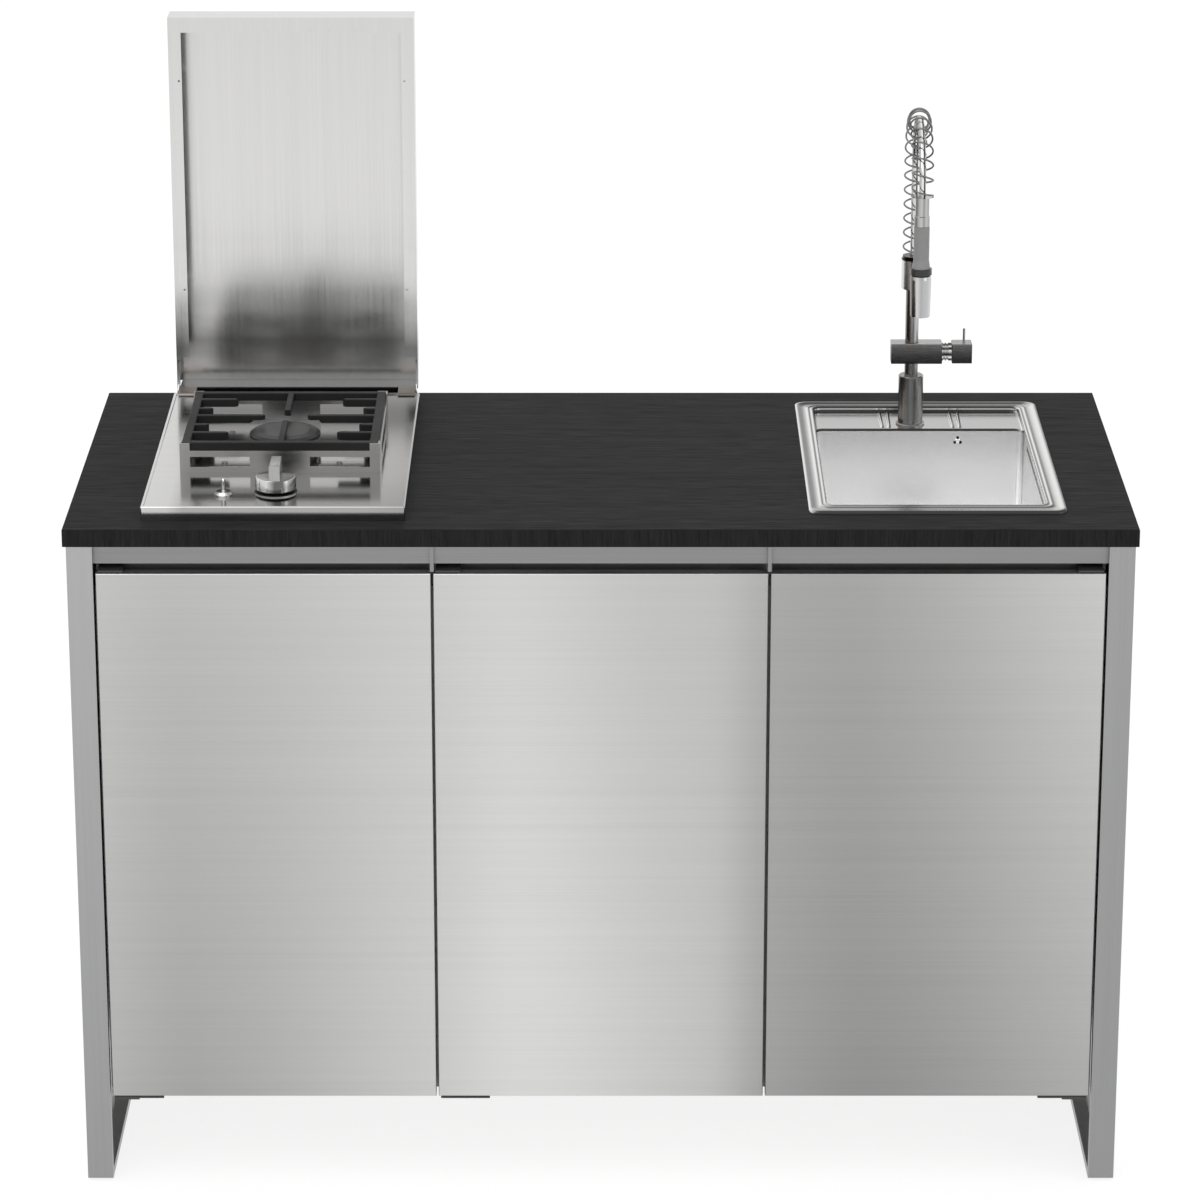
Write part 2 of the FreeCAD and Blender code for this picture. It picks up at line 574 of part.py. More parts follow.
lower_brackets = []
upper_brackets = []
catches = []
screw_places = []
for name, place, side in DOORS:
    door(name, place, side)
    centre = pivot_x(place, side)
    edge = f"({centre} + {side} * (pivot_from_edge - door_gap))"
    far = f"({edge} - {side} * bracket_length)"
    near = f"({edge} - {side} * bracket_lip)"
    x0, x1 = (edge, far) if side < 0 else (far, edge)
    n0, n1 = (edge, near) if side < 0 else (near, edge)
    plate_top = "door_bottom - bracket_gap"
    plate_low = "door_bottom - bracket_gap - bracket_sheet"
    screw_x, screw_y = f"({edge} - {side} * (bracket_lip + 16))", "(carcass_front + 12)"
    lower_pieces = [
        block(f"lower_plate_{name}", x0, x1, "frame_front + bracket_setback",
              "carcass_front + bracket_depth", plate_low, plate_top),
        block(f"lower_seat_{name}", x0, x1, "carcass_front + bracket_seat",
              "carcass_front + bracket_depth", plate_top, "carcass_bottom"),
        rod(f"lower_pivot_{name}", "pivot_radius", f"door_bottom + pivot_reach - ({plate_low})",
            centre, "pivot_y", plate_low)]
    if name != "middle":
        lower_pieces.append(block(f"lower_lip_{name}", n0, n1, "frame_front + bracket_setback",
                                  "frame_front + bracket_setback + bracket_sheet",
                                  f"{plate_low} - bracket_hang", plate_top))
    lower_brackets.append(cut(
        f"lower_bracket_bored_{name}", fuse(f"lower_bracket_{name}", lower_pieces),
        rod(f"lower_bracket_bore_{name}", "screw_radius + screw_fit", "screw_length",
            screw_x, screw_y, plate_low)))
    pocket(bottom_panel, "XY", "carcass_bottom", f"{plate_low} + screw_length + 0.5",
           circle_of(screw_x, screw_y, "screw_radius + screw_fit"))
    upper_brackets.append(fuse(f"upper_bracket_{name}", [
        block(f"upper_plate_{name}", n0, n1, "frame_front + bracket_setback",
              "rail_back - rail_sheet - bracket_seat",
              "door_top + bracket_gap", "door_top + bracket_gap + bracket_sheet"),
        block(f"upper_web_{name}", n0, n1, "rail_back - rail_sheet - bracket_seat - bracket_sheet",
              "rail_back - rail_sheet - bracket_seat", "door_top + bracket_gap", "rail_bottom"),
        rod(f"upper_pivot_{name}", "pivot_radius", "pivot_reach + bracket_gap + bracket_sheet",
            centre, "pivot_y", "door_top - pivot_reach")]))
    free = f"({door_left_edge(place)} + door_width / 2 - {side} * (door_width / 2 - catch_from_edge))"
    catches.append(block(f"catch_{name}", f"{free} - catch_width / 2", f"{free} + catch_width / 2",
                         "door_back + catch_gap", "rail_back - rail_sheet",
                         "door_top - catch_drop - catch_height", "door_top - catch_drop"))
    screw_places.append((screw_x, screw_y, plate_low, 1))
group("pivot_brackets_lower", lower_brackets)
group("pivot_brackets_upper", upper_brackets)
group("door_catches", catches)

# ---------------------------------------------------------------- hob tray and box
hob_tray = body("hob_tray")
pad(hob_tray, "XY", "deck", "hob_top", box_of("hob_left", "hob_right", "hob_front", "hob_back"))
round_edges(hob_tray, "hob_round",
            lambda e: along(e, 2) or e.BoundBox.ZMin > num("hob_top") - 0.01)
pocket(hob_tray, "XY", "hob_panel", "hob_top",
       box_of("hob_left + hob_rim", "hob_right - hob_rim", "hob_front + hob_rim", "hob_back - hob_rim"))
pocket(hob_tray, "XY", "deck", "hob_inside",
       box_of("hob_left + hob_sheet", "hob_right - hob_sheet",
              "hob_front + hob_sheet", "hob_back - hob_sheet"))
PROBE_LEFT = "(hob_x - crown_radius - probe_side)"
PROBE_RIGHT = "(hob_x + crown_radius + probe_side)"
PROBE_Y = "(burner_y - probe_front)"
for x, y, radius in (("hob_x", "burner_y", "cup_radius + 3 * burner_play"),
                     ("hob_x", "knob_y", "spindle_radius + 2"),
                     ("igniter_x", "igniter_y", "igniter_radius + 2"),
                     (PROBE_LEFT, PROBE_Y, "probe_radius + 0.1"),
                     (PROBE_RIGHT, PROBE_Y, "probe_radius + 0.1")):
    pocket(hob_tray, "XY", "hob_inside", "hob_panel", circle_of(x, y, radius))

TRAY_SCREWS = [(f"hob_x + {x} * screw_x", f"burner_y + {y} * screw_y", "hob_panel", -1)
               for x in (-1, 1) for y in (-1, 1)]
for x, y, _, _ in TRAY_SCREWS:
    pocket(hob_tray, "XY", "hob_inside", "hob_panel", circle_of(x, y, "screw_radius + screw_fit"))

hob_box = body("hob_box")
BOX_EDGE = "hob_lap + hob_box_gap"
pad(hob_box, "XY", "deck - hob_box_drop", "hob_inside",
    box_of(f"hob_left + {BOX_EDGE}", f"hob_right - ({BOX_EDGE})",
           f"hob_front + {BOX_EDGE}", f"hob_back - ({BOX_EDGE})"))
BOX_WALL = f"{BOX_EDGE} + hob_box_sheet"
pocket(hob_box, "XY", "deck - hob_box_drop + hob_box_sheet", "hob_inside",
       box_of(f"hob_left + {BOX_WALL}", f"hob_right - ({BOX_WALL})",
              f"hob_front + {BOX_WALL}", f"hob_back - ({BOX_WALL})"))

# ---------------------------------------------------------------- burner
BURNER = ("hob_x", "burner_y")
turned("burner_cup", [
    ("0", "-cup_drop"), ("cup_radius / 3", "-cup_drop"), ("cup_radius / 3", "-cup_drop * 0.6"),
    ("cup_radius", "-cup_drop * 0.4"), ("cup_radius", "0"), ("cup_flange", "0"),
    ("cup_flange", "cup_flange_height"), ("cup_radius - 2", "cup_flange_height"),
    ("cup_radius - 4", "-cup_drop * 0.3"), ("0", "-cup_drop * 0.3")], *BURNER, "hob_panel")
crown = turned("burner_crown", [
    ("crown_radius - 10", "0"), ("crown_radius", "0"), ("crown_radius", "crown_height"),
    ("crown_radius - 10", "crown_height")], *BURNER, "crown_low")
slot = pocket(crown, "XY", "crown_height * 0.35", "crown_height",
              box_of("crown_radius - 12", "crown_radius + 2", "-slot_width / 2", "slot_width / 2"))
slots = crown.newObject("PartDesign::PolarPattern", "crown_slots_round")
slots.Originals = [slot]
slots.Axis = (slot.Profile[0], ["N_Axis"])
slots.Angle = 360
slots.setExpression("Occurrences", bind("crown_slots"))
crown.Tip = slots
cap = turned("burner_cap", [
    ("0", "0"), ("crown_radius - 10.4", "0"), ("crown_radius - 10.4", "burner_play"),
    ("cap_radius", "burner_play"), ("cap_radius", "cap_height * 0.45"),
    ("cap_radius - 4", "cap_height * 0.8"), ("cap_radius - 14", "cap_height"), ("0", "cap_height")],
    *BURNER, "cap_low")


def probe(label, x, tip):
    """A slim rod through the tray beside the burner, with a thicker foot below."""
    return turned(label, [
        ("0", "-probe_foot"), ("probe_radius + 1.5", "-probe_foot"),
        ("probe_radius + 1.5", "-hob_sheet"), ("probe_radius", "-hob_sheet"),
        ("probe_radius", f"{tip} - 3"), ("probe_radius * 0.5", tip), ("0", tip)],
        x, PROBE_Y, "hob_panel")


probe("spark_electrode", PROBE_LEFT, "spark_height")
probe("thermocouple", PROBE_RIGHT, "sensor_height")

# ---------------------------------------------------------------- pan support and grate
pan = body("burner_frame")
pad(pan, "XY", "hob_panel", "hob_panel + pan_tab_height",
    box_of("pan_left", "pan_right", "pan_frame_front", "pan_back"))
pocket(pan, "XY", "pan_seat", "hob_panel + pan_tab_height",
       box_of("pan_left + pan_sheet", "pan_right - pan_sheet",
              "pan_frame_front + pan_sheet", "pan_back - pan_sheet"))
pocket(pan, "XY", "hob_panel", "pan_seat - pan_sheet",
       box_of("pan_left + pan_sheet", "pan_right - pan_sheet",
              "pan_frame_front + pan_sheet", "pan_back - pan_sheet"))
pocket(pan, "XY", "pan_seat - pan_sheet", "pan_seat",
       box_of("pan_left + pan_sheet + pan_shelf", "pan_right - pan_sheet - pan_shelf",
              "pan_frame_front + pan_sheet + pan_shelf", "pan_back - pan_sheet - pan_shelf"))
pocket(pan, "XZ", "pan_frame_front", "pan_back",
       box_of("pan_left + pan_tab_width", "pan_right - pan_tab_width",
              "pan_seat", "hob_panel + pan_tab_height"))
pocket(pan, "YZ", "pan_left", "pan_right",
       box_of("pan_frame_front + pan_tab_width", "pan_back - pan_tab_width",
              "pan_seat", "hob_panel + pan_tab_height"))
for x0, x1 in (("pan_left + pan_tab_width", "pan_left + pan_tab_width + window_width"),
               ("pan_right - pan_tab_width - window_width", "pan_right - pan_tab_width")):
    pocket(pan, "XZ", "pan_frame_front", "pan_back",
           box_of(x0, x1, "hob_panel + window_low", "hob_panel + window_low + window_height"))
pocket(pan, "YZ", "pan_left", "pan_right",
       box_of("pan_frame_front + side_window_from_end", "pan_back - side_window_from_end",
              "hob_panel + window_low", "hob_panel + window_low + window_height"))

grate_left = "(pan_left + pan_sheet + grate_play)"
grate_right = "(pan_right - pan_sheet - grate_play)"
grate_front = "(pan_frame_front + pan_sheet + grate_play)"
grate_back = "(pan_back - pan_sheet - grate_play)"
GRATE_TOP = "(pan_seat + grate_height)"
grate = body("grate")
pad(grate, "XY", "pan_seat", GRATE_TOP, box_of(grate_left, grate_right, grate_front, grate_back))
pocket(grate, "XY", "pan_seat", GRATE_TOP,
       box_of(f"{grate_left} + grate_bar", f"{grate_right} - grate_bar",
              f"{grate_front} + grate_bar", f"{grate_back} - grate_bar"))
# fingers from the side bars: place along the depth, reach of the left and of the right one
FINGERS = ((88.0, 50.0, 46.0), (43.0, 19.0, 16.0), (9.0, 92.0, 90.0), (-35.0, 19.0, 18.0),
           (-73.0, 48.0, 46.0))
for y, left_reach, right_reach in FINGERS:
    bar = (f"{y} - finger_width / 2", f"{y} + finger_width / 2")
    pad(grate, "XY", "pan_seat", GRATE_TOP,
        outline_of([(f"{grate_left} + grate_bar / 2", bar[0]),
                    (f"{grate_left} + grate_bar + {left_reach} - finger_point", bar[0]),
                    (f"{grate_left} + grate_bar + {left_reach}", f"{y}"),
                    (f"{grate_left} + grate_bar + {left_reach} - finger_point", bar[1]),
                    (f"{grate_left} + grate_bar / 2", bar[1])]))
    pad(grate, "XY", "pan_seat", GRATE_TOP,
        outline_of([(f"{grate_right} - grate_bar / 2", bar[1]),
                    (f"{grate_right} - grate_bar - {right_reach} + finger_point", bar[1]),
                    (f"{grate_right} - grate_bar - {right_reach}", f"{y}"),
                    (f"{grate_right} - grate_bar - {right_reach} + finger_point", bar[0]),
                    (f"{grate_right} - grate_bar / 2", bar[0])]))
for y0, y1 in ((f"{grate_front} + grate_bar / 2", "burner_y - front_bar_end"),
               ("burner_y + back_bar_end", f"{grate_back} - grate_bar / 2")):
    pad(grate, "XY", "pan_seat", GRATE_TOP,
        box_of("hob_x - finger_width / 2 + 1", "hob_x + finger_width / 2 + 1", y0, y1))
# underside cleared over the burner cap
pocket(grate, "XY", "pan_seat", "pan_seat + cap_clear",
       circle_of("hob_x", "burner_y", "cap_radius + 3"))
round_edges(grate, "grate_round",
            lambda e: e.BoundBox.ZMin > num("pan_seat") + num("grate_height") - 0.01)

# ---------------------------------------------------------------- gas valve, pipe, knob, igniter
VALVE_TOP = "(hob_inside - valve_collar_height)"
gas_valve = body("gas_valve")
pad(gas_valve, "XY", "deck - valve_drop", VALVE_TOP,
    box_of("hob_x - valve_width / 2", "hob_x + valve_width / 2",
           "knob_y - valve_depth / 2", "knob_y + valve_depth / 2"))
pad(gas_valve, "XY", VALVE_TOP, "hob_inside", circle_of("hob_x", "knob_y", "valve_collar"))
pad(gas_valve, "XY", "deck - hob_box_drop + hob_box_sheet", "deck - valve_drop",
    box_of("hob_x - valve_foot / 2", "hob_x + valve_foot / 2",
           "knob_y - valve_foot / 2", "knob_y + valve_foot / 2"))
pocket(gas_valve, "XY", "deck - 20", "hob_inside",
       circle_of("hob_x", "knob_y", "spindle_radius + spindle_fit"))

# stem: round in the valve, flat on one side where the knob slides on it
spindle = body("valve_spindle")
pad(spindle, "XY", "deck - 19", "knob_low + knob_skirt - 3",
    circle_of("hob_x", "knob_y", "spindle_radius"))
pocket(spindle, "XY", "hob_panel + 1", "knob_low + knob_skirt - 3",
       box_of("hob_x + spindle_flat", "hob_x + spindle_radius + 1",
              "knob_y - spindle_radius - 1", "knob_y + spindle_radius + 1"))

knob = body("knob")
pad(knob, "XY", "knob_low", "knob_low + knob_skirt", circle_of("hob_x", "knob_y", "knob_radius"))
pad(knob, "XY", "knob_low", "knob_low + knob_top",
    box_of("hob_x - knob_bar / 2", "hob_x + knob_bar / 2",
           "knob_y - knob_radius + 1", "knob_y + knob_radius - 1"))
round_edges(knob, "knob_round", lambda e: e.BoundBox.ZMin > num("knob_low") + num("knob_skirt") - 0.01
            and e.BoundBox.ZMax > num("knob_low") + num("knob_top") - 0.01
            and e.BoundBox.ZLength < 0.01)
pocket(knob, "XY", "knob_low", "knob_low + knob_mark_height",
       box_of("hob_x - knob_mark / 2", "hob_x + knob_mark / 2",
              "knob_y - knob_radius - 1", "knob_y - knob_radius + knob_mark_depth"))
BORE = "spindle_fit + spindle_radius"
pocket(knob, "XY", "knob_low", "knob_low + knob_skirt + knob_travel - 2",
       circle_of("hob_x", "knob_y", BORE))

turned("knob_ring", [("spindle_radius + 2.5", "0"), ("ring_radius", "0"),
                     ("ring_radius", "ring_height * 0.6"), ("ring_radius - 1.2", "ring_height"),
                     ("spindle_radius + 2.5", "ring_height")], "hob_x", "knob_y", "hob_panel")

turned("igniter_collar", [
    ("igniter_radius + 0.06", "-16"), ("7", "-16"), ("7", "-hob_sheet - 0.05"),
    ("igniter_radius + 1.9", "-hob_sheet - 0.05"), ("igniter_radius + 1.9", "0"),
    ("igniter_collar", "0"), ("igniter_collar", "collar_height * 0.4"),
    ("igniter_collar - 3", "collar_height"), ("igniter_radius + 0.06", "collar_height")],
    "igniter_x", "igniter_y", "hob_panel")
turned("igniter_button", [
    ("0", "-12"), ("igniter_radius", "-12"), ("igniter_radius", "igniter_height - 1.2"),
    ("igniter_radius - 1.2", "igniter_height"), ("0", "igniter_height")],
    "igniter_x", "igniter_y", "hob_panel")


def bend_path(points, radius):
    """Straight runs through the points, joined by arcs of one radius."""
    edges = []
    start = points[0]
    for i in range(1, len(points) - 1):
        here = points[i]
        back_dir = (points[i - 1] - here).normalize()
        on_dir = (points[i + 1] - here).normalize()
        half = back_dir.getAngle(on_dir) / 2
        trim = radius / math.tan(half)
        enter = here + back_dir * trim
        leave = here + on_dir * trim
        inward = (back_dir + on_dir).normalize()
        middle = here + inward * (radius / math.sin(half) - radius)
        edges.append(Part.LineSegment(start, enter).toShape())
        edges.append(Part.Arc(enter, middle, leave).toShape())
        start = leave
    edges.append(Part.LineSegment(start, points[-1]).toShape())
    return Part.Wire(edges)


def tube(label, wire, radius, tolerance=0.01):
    """A round bar along a wire; its volume is compared with its section times its length."""
    first = wire.Edges[0]
    start = first.valueAt(first.FirstParameter)
    direction = first.tangentAt(first.FirstParameter)
    section = Part.Wire(Part.makeCircle(radius, start, direction))
    shape = wire.makePipeShell([section], True, False)
    expected = math.pi * radius * radius * wire.Length
    if abs(shape.Volume / expected - 1) > tolerance:
        raise RuntimeError(f"{label}: volume {shape.Volume:.0f}, expected {expected:.0f}")
    return shape


def solid_node(label, shape):
    """A sub-part whose shape no bound object fits."""
    made = doc.addObject("Part::Feature", label)
    made.Shape = shape
    made.Placement = FreeCAD.Placement()
    return keep(made, label)


hob_x, knob_y, burner_y = num("hob_x"), num("knob_y"), num("burner_y")
pipe_z = num("deck") - num("pipe_drop")
pipe_end = burner_y - num("cup_radius") / 3
feed_x = hob_x - num("feed_side")
inlet_x = hob_x + num("inlet_side")
inlet_y = num("hob_back") - num("hob_lap") - num("inlet_from_back")
inlet_z = num("deck") - num("hob_box_drop") - num("inlet_stub")
feed = bend_path([Vec(hob_x, knob_y + num("valve_depth") / 2, pipe_z), Vec(hob_x, knob_y + 80, pipe_z),
                  Vec(feed_x, knob_y + 120, pipe_z), Vec(feed_x, burner_y - 60, pipe_z),
                  Vec(hob_x, burner_y - 45, pipe_z), Vec(hob_x, pipe_end, pipe_z)], num("feed_bend"))
inlet = bend_path([Vec(hob_x + num("valve_width") / 2, knob_y, pipe_z), Vec(inlet_x, knob_y, pipe_z),
                   Vec(inlet_x, inlet_y, pipe_z), Vec(inlet_x, inlet_y, inlet_z)], num("inlet_bend"))
solid_node("gas_pipe", Part.makeCompound([tube("feed pipe", feed, num("feed_radius")),
                                          tube("inlet pipe", inlet, num("inlet_radius"))]))
pocket(hob_box, "XY", "deck - hob_box_drop", "deck - hob_box_drop + hob_box_sheet",
       circle_of("hob_x + inlet_side", "hob_back - hob_lap - inlet_from_back", "inlet_radius + 0.2"))

# ---------------------------------------------------------------- lid, modelled standing open
lid = body("lid")
pad(lid, "XZ", "lid_front_open", "lid_back_open", box_of("lid_left", "lid_right", "lid_low", "lid_top"))
round_edges(lid, "lid_round", lambda e: (along(e, 2) or along(e, 0))
            and e.BoundBox.YMin > num("lid_back_open") - 0.01
            and e.BoundBox.ZMax > num("lid_low") + 1)
pocket(lid, "XZ", "lid_front_open + lid_sheet", "lid_back_open - lid_sheet",
       box_of("lid_left + lid_sheet", "lid_right - lid_sheet", "lid_low", "lid_top - lid_sheet"))
pocket(lid, "XZ", "lid_front_open", "lid_front_open + lid_sheet",
       box_of("lid_left + lid_side_lip", "lid_right - lid_side_lip", "lid_low", "lid_top - lid_end_lip"))
pocket(lid, "XZ", "lid_front_open", "lid_front_open + lid_sheet",
       box_of("lid_left", "lid_right", "lid_low", "lid_axis_z + lid_lip_start"))
# small holes in the lips: along the end lip, from its middle, and two in each side lip
LIP_HOLES = [(f"hob_x + {x}", "lid_top - end_hole_drop") for x in (-31.0, 27.5, 52.5, 88.5)]
LIP_HOLES += [(f"hob_x + {side} * (lid_width / 2 - side_hole_in)", f"lid_top - {drop}")
              for side in (-1, 1) for drop in ("side_hole_high", "side_hole_low")]
pocket(lid, "XZ", "lid_front_open", "lid_front_open + lid_sheet", circles_of(LIP_HOLES, "lip_hole"))
for side in (-1, 1):
    wall = f"hob_x + {side} * (lid_width / 2 - lid_sheet)"
    inner = f"hob_x + {side} * (lid_width / 2 - lid_sheet - lid_ear)"
    x0, x1 = (wall, inner) if side < 0 else (inner, wall)
    pad(lid, "YZ", x0, x1, outline_of([
        ("lid_axis_y - ear_reach", "lid_axis_z - ear_reach"),
        ("lid_axis_y + ear_back - 14", "lid_axis_z - ear_reach"),
        ("lid_axis_y + ear_back", "lid_axis_z + 8"), ("lid_axis_y + ear_back", "lid_low + ear_top"),
        ("lid_front_open + lid_sheet", "lid_low + ear_top"),
        ("lid_front_open + lid_sheet", "lid_axis_z + ear_reach + 4"),
        ("lid_axis_y - ear_reach", "lid_axis_z + ear_reach")]))
    pocket(lid, "YZ", x0, x1, circle_of("lid_axis_y", "lid_axis_z", "lid_pin_radius + lid_pin_fit"))

blocks = []
for side in (-1, 1):
    outer = f"hob_x + {side} * (lid_width / 2 - lid_sheet - lid_ear - lid_ear_gap)"
    inner = f"{outer} - {side} * hinge_block"
    x0, x1 = (outer, inner) if side < 0 else (inner, outer)
    pin_start = "hob_x - (lid_width / 2 - lid_sheet - 0.1)" if side < 0 else f"{outer} - pin_sunk"
    blocks.append(fuse(f"hinge_block_pin_{side + 1}", [
        block(f"hinge_block_{side + 1}", x0, x1, "lid_axis_y - hinge_block_front",
              "lid_axis_y + hinge_block_back", "deck", "deck + hinge_block_rise"),
        block(f"hinge_toe_{side + 1}", x0, x1, "lid_axis_y - hinge_toe_front",
              "lid_axis_y", "deck + hinge_toe_low", "deck + hinge_block_rise"),
        rod(f"hinge_pin_{side + 1}", "lid_pin_radius", "pin_sunk + lid_ear + lid_ear_gap - 0.1",
            pin_start, "lid_axis_y", "lid_axis_z", ALONG_X)]))
group("lid_hinge_blocks", blocks)

hinge_cover = body("hinge_cover")
pad(hinge_cover, "YZ", "lid_left + lid_sheet + lid_ear + 1", "lid_right - lid_sheet - lid_ear - 1",
    outline_of([("cover_front", "deck"), ("cover_front + cover_depth", "deck"),
                ("cover_front + cover_depth", "deck + cover_sheet"),
                ("cover_front + cover_sheet", "deck + cover_sheet"),
                ("cover_front + cover_sheet", "deck + cover_height - cover_sheet"),
                ("cover_front + cover_depth", "deck + cover_height - cover_sheet"),
                ("cover_front + cover_depth", "deck + cover_height"),
                ("cover_front", "deck + cover_height")]))

# ---------------------------------------------------------------- sink
sink = body("sink")

SHEET = "sink_sheet"
bowl_x0, bowl_x1 = "(sink_x - bowl_width / 2)", "(sink_x + bowl_width / 2)"
ledge_x0, ledge_x1 = "(sink_x - ledge_width / 2)", "(sink_x + ledge_width / 2)"


def upright_from(height):
    """Chooses the straight vertical edges that start at a height."""
    return lambda e: along(e, 2) and abs(e.BoundBox.ZMin - height) < 0.01


# rim: a shallow upturned tray that rests on the worktop
pad(sink, "XY", "deck", "sink_top", box_of("sink_left", "sink_right", "sink_front", "sink_back"))
round_edges(sink, "sink_round", lambda e: along(e, 2))
round_edges(sink, "sink_rim - 0.8", lambda e: e.BoundBox.ZMin > num("sink_top") - 0.01)
pocket(sink, "XY", "deck", f"sink_top - {SHEET} - 1",
       box_of(f"sink_left + {SHEET} + sink_round * 0.3", f"sink_right - {SHEET} - sink_round * 0.3",
              f"sink_front + {SHEET} + sink_round * 0.3", f"sink_back - {SHEET} - sink_round * 0.3"))
# channel between the rim's outer roll and its inner bead
pocket(sink, "XY", "sink_top - groove_depth", "sink_top",
       ring_of("sink_left + rim_roll", "sink_right - rim_roll",
               "sink_front + rim_roll", "sink_back - rim_roll", "rim_groove"))
# bowl: a box with its hollow, then every corner rounded by the sheet's two radii
pad(sink, "XY", f"bowl_floor - {SHEET}", "sink_top - 1",
    box_of(f"{bowl_x0} - {SHEET}", f"{bowl_x1} + {SHEET}",
           f"bowl_front - {SHEET}", f"bowl_back + {SHEET}"))
pocket(sink, "XY", "bowl_floor", "sink_top", box_of(bowl_x0, bowl_x1, "bowl_front", "bowl_back"))
floor_inside, floor_outside = num("bowl_floor"), num("bowl_floor") - num(SHEET)
round_edges(sink, "bowl_round", upright_from(floor_inside))
round_edges(sink, f"bowl_round + {SHEET}", upright_from(floor_outside))
round_edges(sink, "bowl_foot", lambda e: abs(e.BoundBox.ZMin - floor_inside) < 0.01
            and abs(e.BoundBox.ZMax - floor_inside) < 0.01)
round_edges(sink, f"bowl_foot + {SHEET}", lambda e: e.BoundBox.ZMax < floor_outside + 0.01)
# tap ledge behind the bowl
pad(sink, "XY", f"ledge_top - {SHEET}", "sink_top - 1",
    box_of(f"{ledge_x0} - {SHEET}", f"{ledge_x1} + {SHEET}",
           f"bowl_back + {SHEET} / 2", f"ledge_back + {SHEET}"))
pocket(sink, "XY", "ledge_top", "sink_top",
       box_of(ledge_x0, ledge_x1, "bowl_back - bowl_round - 4", "ledge_back"))
round_edges(sink, "ledge_round",
            lambda e: along(e, 2) and e.BoundBox.YMin > num("ledge_back") - 0.01
            and e.BoundBox.YMax < num("ledge_back") + 0.01)
for rib in ("rib_left", "rib_right"):
    pad(sink, "XY", "ledge_top - 0.5", "ledge_top + rib_height",
        box_of(f"{rib} - rib_width / 2", f"{rib} + rib_width / 2",
               "bowl_back + 4", "ledge_back - 3"))
pocket(sink, "XY", f"ledge_top - {SHEET}", "ledge_top",
       circle_of("tap_x", "tap_y", "shank_radius + shank_fit"))
pocket(sink, "XY", f"bowl_floor - {SHEET}", "bowl_floor",
       circle_of("sink_x", "bowl_y", "waste_radius - 8"))
pocket(sink, "YZ", bowl_x1, f"{bowl_x1} + wall_slot_depth",
       box_of("wall_slot_front", "wall_slot_back",
              "sink_top - wall_slot_low", "sink_top - wall_slot_high"))
OVERFLOW_Z = "(sink_top - overflow_drop)"
pocket(sink, "XZ", "bowl_back", f"bowl_back + {SHEET}",
       circle_of("overflow_x", OVERFLOW_Z, "overflow_radius - 2"))

turned("sink_waste", [
    ("strainer_radius + 0.5", "-34"), ("waste_radius - 8 - waste_fit", "-34"),
    ("waste_radius - 8 - waste_fit", "0"), ("waste_radius", "0"), ("waste_radius", "1"),
    ("waste_radius - 2", "1.6"), ("strainer_radius + 0.5", "0.8")], "sink_x", "bowl_y", "bowl_floor")
turned("sink_strainer", [
    ("0", "-26"), ("strainer_radius - 5", "-26"), ("strainer_radius - 1", "-2"),
    ("strainer_radius", "1"), ("strainer_radius - 3", "1"), ("strainer_radius - 7", "-23"),
    ("4", "-23"), ("4", "-6"), ("6", "-3"), ("6", "0"), ("0", "1")], "sink_x", "bowl_y", "bowl_floor")

trap = turned("waste_trap", [
    ("0", "-34 - trap_drop"), ("trap_cup", "-34 - trap_drop"), ("trap_cup", "-34 - trap_drop + 70"),
    ("trap_radius", "-34 - trap_drop + 82"), ("trap_radius", "-46"),
    ("waste_radius - 8", "-42"), ("waste_radius - 8", "-34"), ("0", "-34")],
    "sink_x", "bowl_y", "bowl_floor")
pad(trap, "XZ", "0", "carcass_back - bowl_y + outlet_stub",
    circle_of("0", "-34 - trap_drop + 52", "outlet_radius"))
pocket(back_panel, "XZ", "back_front", "carcass_back",
       circle_of("sink_x", "bowl_floor - 34 - trap_drop + 52", "outlet_radius + 3"))

overflow = body("overflow_plate")
pad(overflow, "XZ", "bowl_back - 1.6", "bowl_back",
    circle_of("overflow_x", OVERFLOW_Z, "overflow_radius"))
pad(overflow, "XZ", "bowl_back - 0.5", "bowl_back + 14",
    circle_of("overflow_x", OVERFLOW_Z, "overflow_radius - 2.3"))
for angle in (90, 210, 330):
    hole_x = f"overflow_x + {4.2 * math.cos(math.radians(angle)):.3f}"
    hole_z = f"{OVERFLOW_Z} + {4.2 * math.sin(math.radians(angle)):.3f}"
    pocket(overflow, "XZ", "bowl_back - 1.6", "bowl_back + 6", circle_of(hole_x, hole_z, "1.5"))

# ---------------------------------------------------------------- tap
TAP = ("tap_x", "tap_y")
turned("tap_base", [
    ("0", "-shank_drop"), ("shank_radius", "-shank_drop"),
    ("shank_radius", "-nut_height - sink_sheet"),
    ("nut_radius", "-nut_height - sink_sheet"), ("nut_radius", "-sink_sheet"),
    ("shank_radius", "-sink_sheet"), ("shank_radius", "0"), ("foot_radius", "0"),
    ("foot_radius", "foot_height * 0.6"), ("foot_radius - 1.4", "foot_height"),
    ("tap_base_radius", "foot_height"), ("tap_base_radius", "tap_base_height - 1"),
    ("tap_base_radius - 1", "tap_base_height"), ("riser_radius", "tap_base_height"),
    ("riser_radius", "mixer_height - mixer_rise / 2 + 1"), ("0", "mixer_height - mixer_rise / 2 + 1")],
    *TAP, "ledge_top")
mixer = body("mixer_body")
pad(mixer, "XY", "mixer_z - mixer_rise / 2", "mixer_top",
    box_of("mixer_left_x", "mixer_right_x", "tap_y - mixer_depth / 2", "tap_y + mixer_depth / 2"))
round_edges(mixer, "mixer_round", lambda e: True)
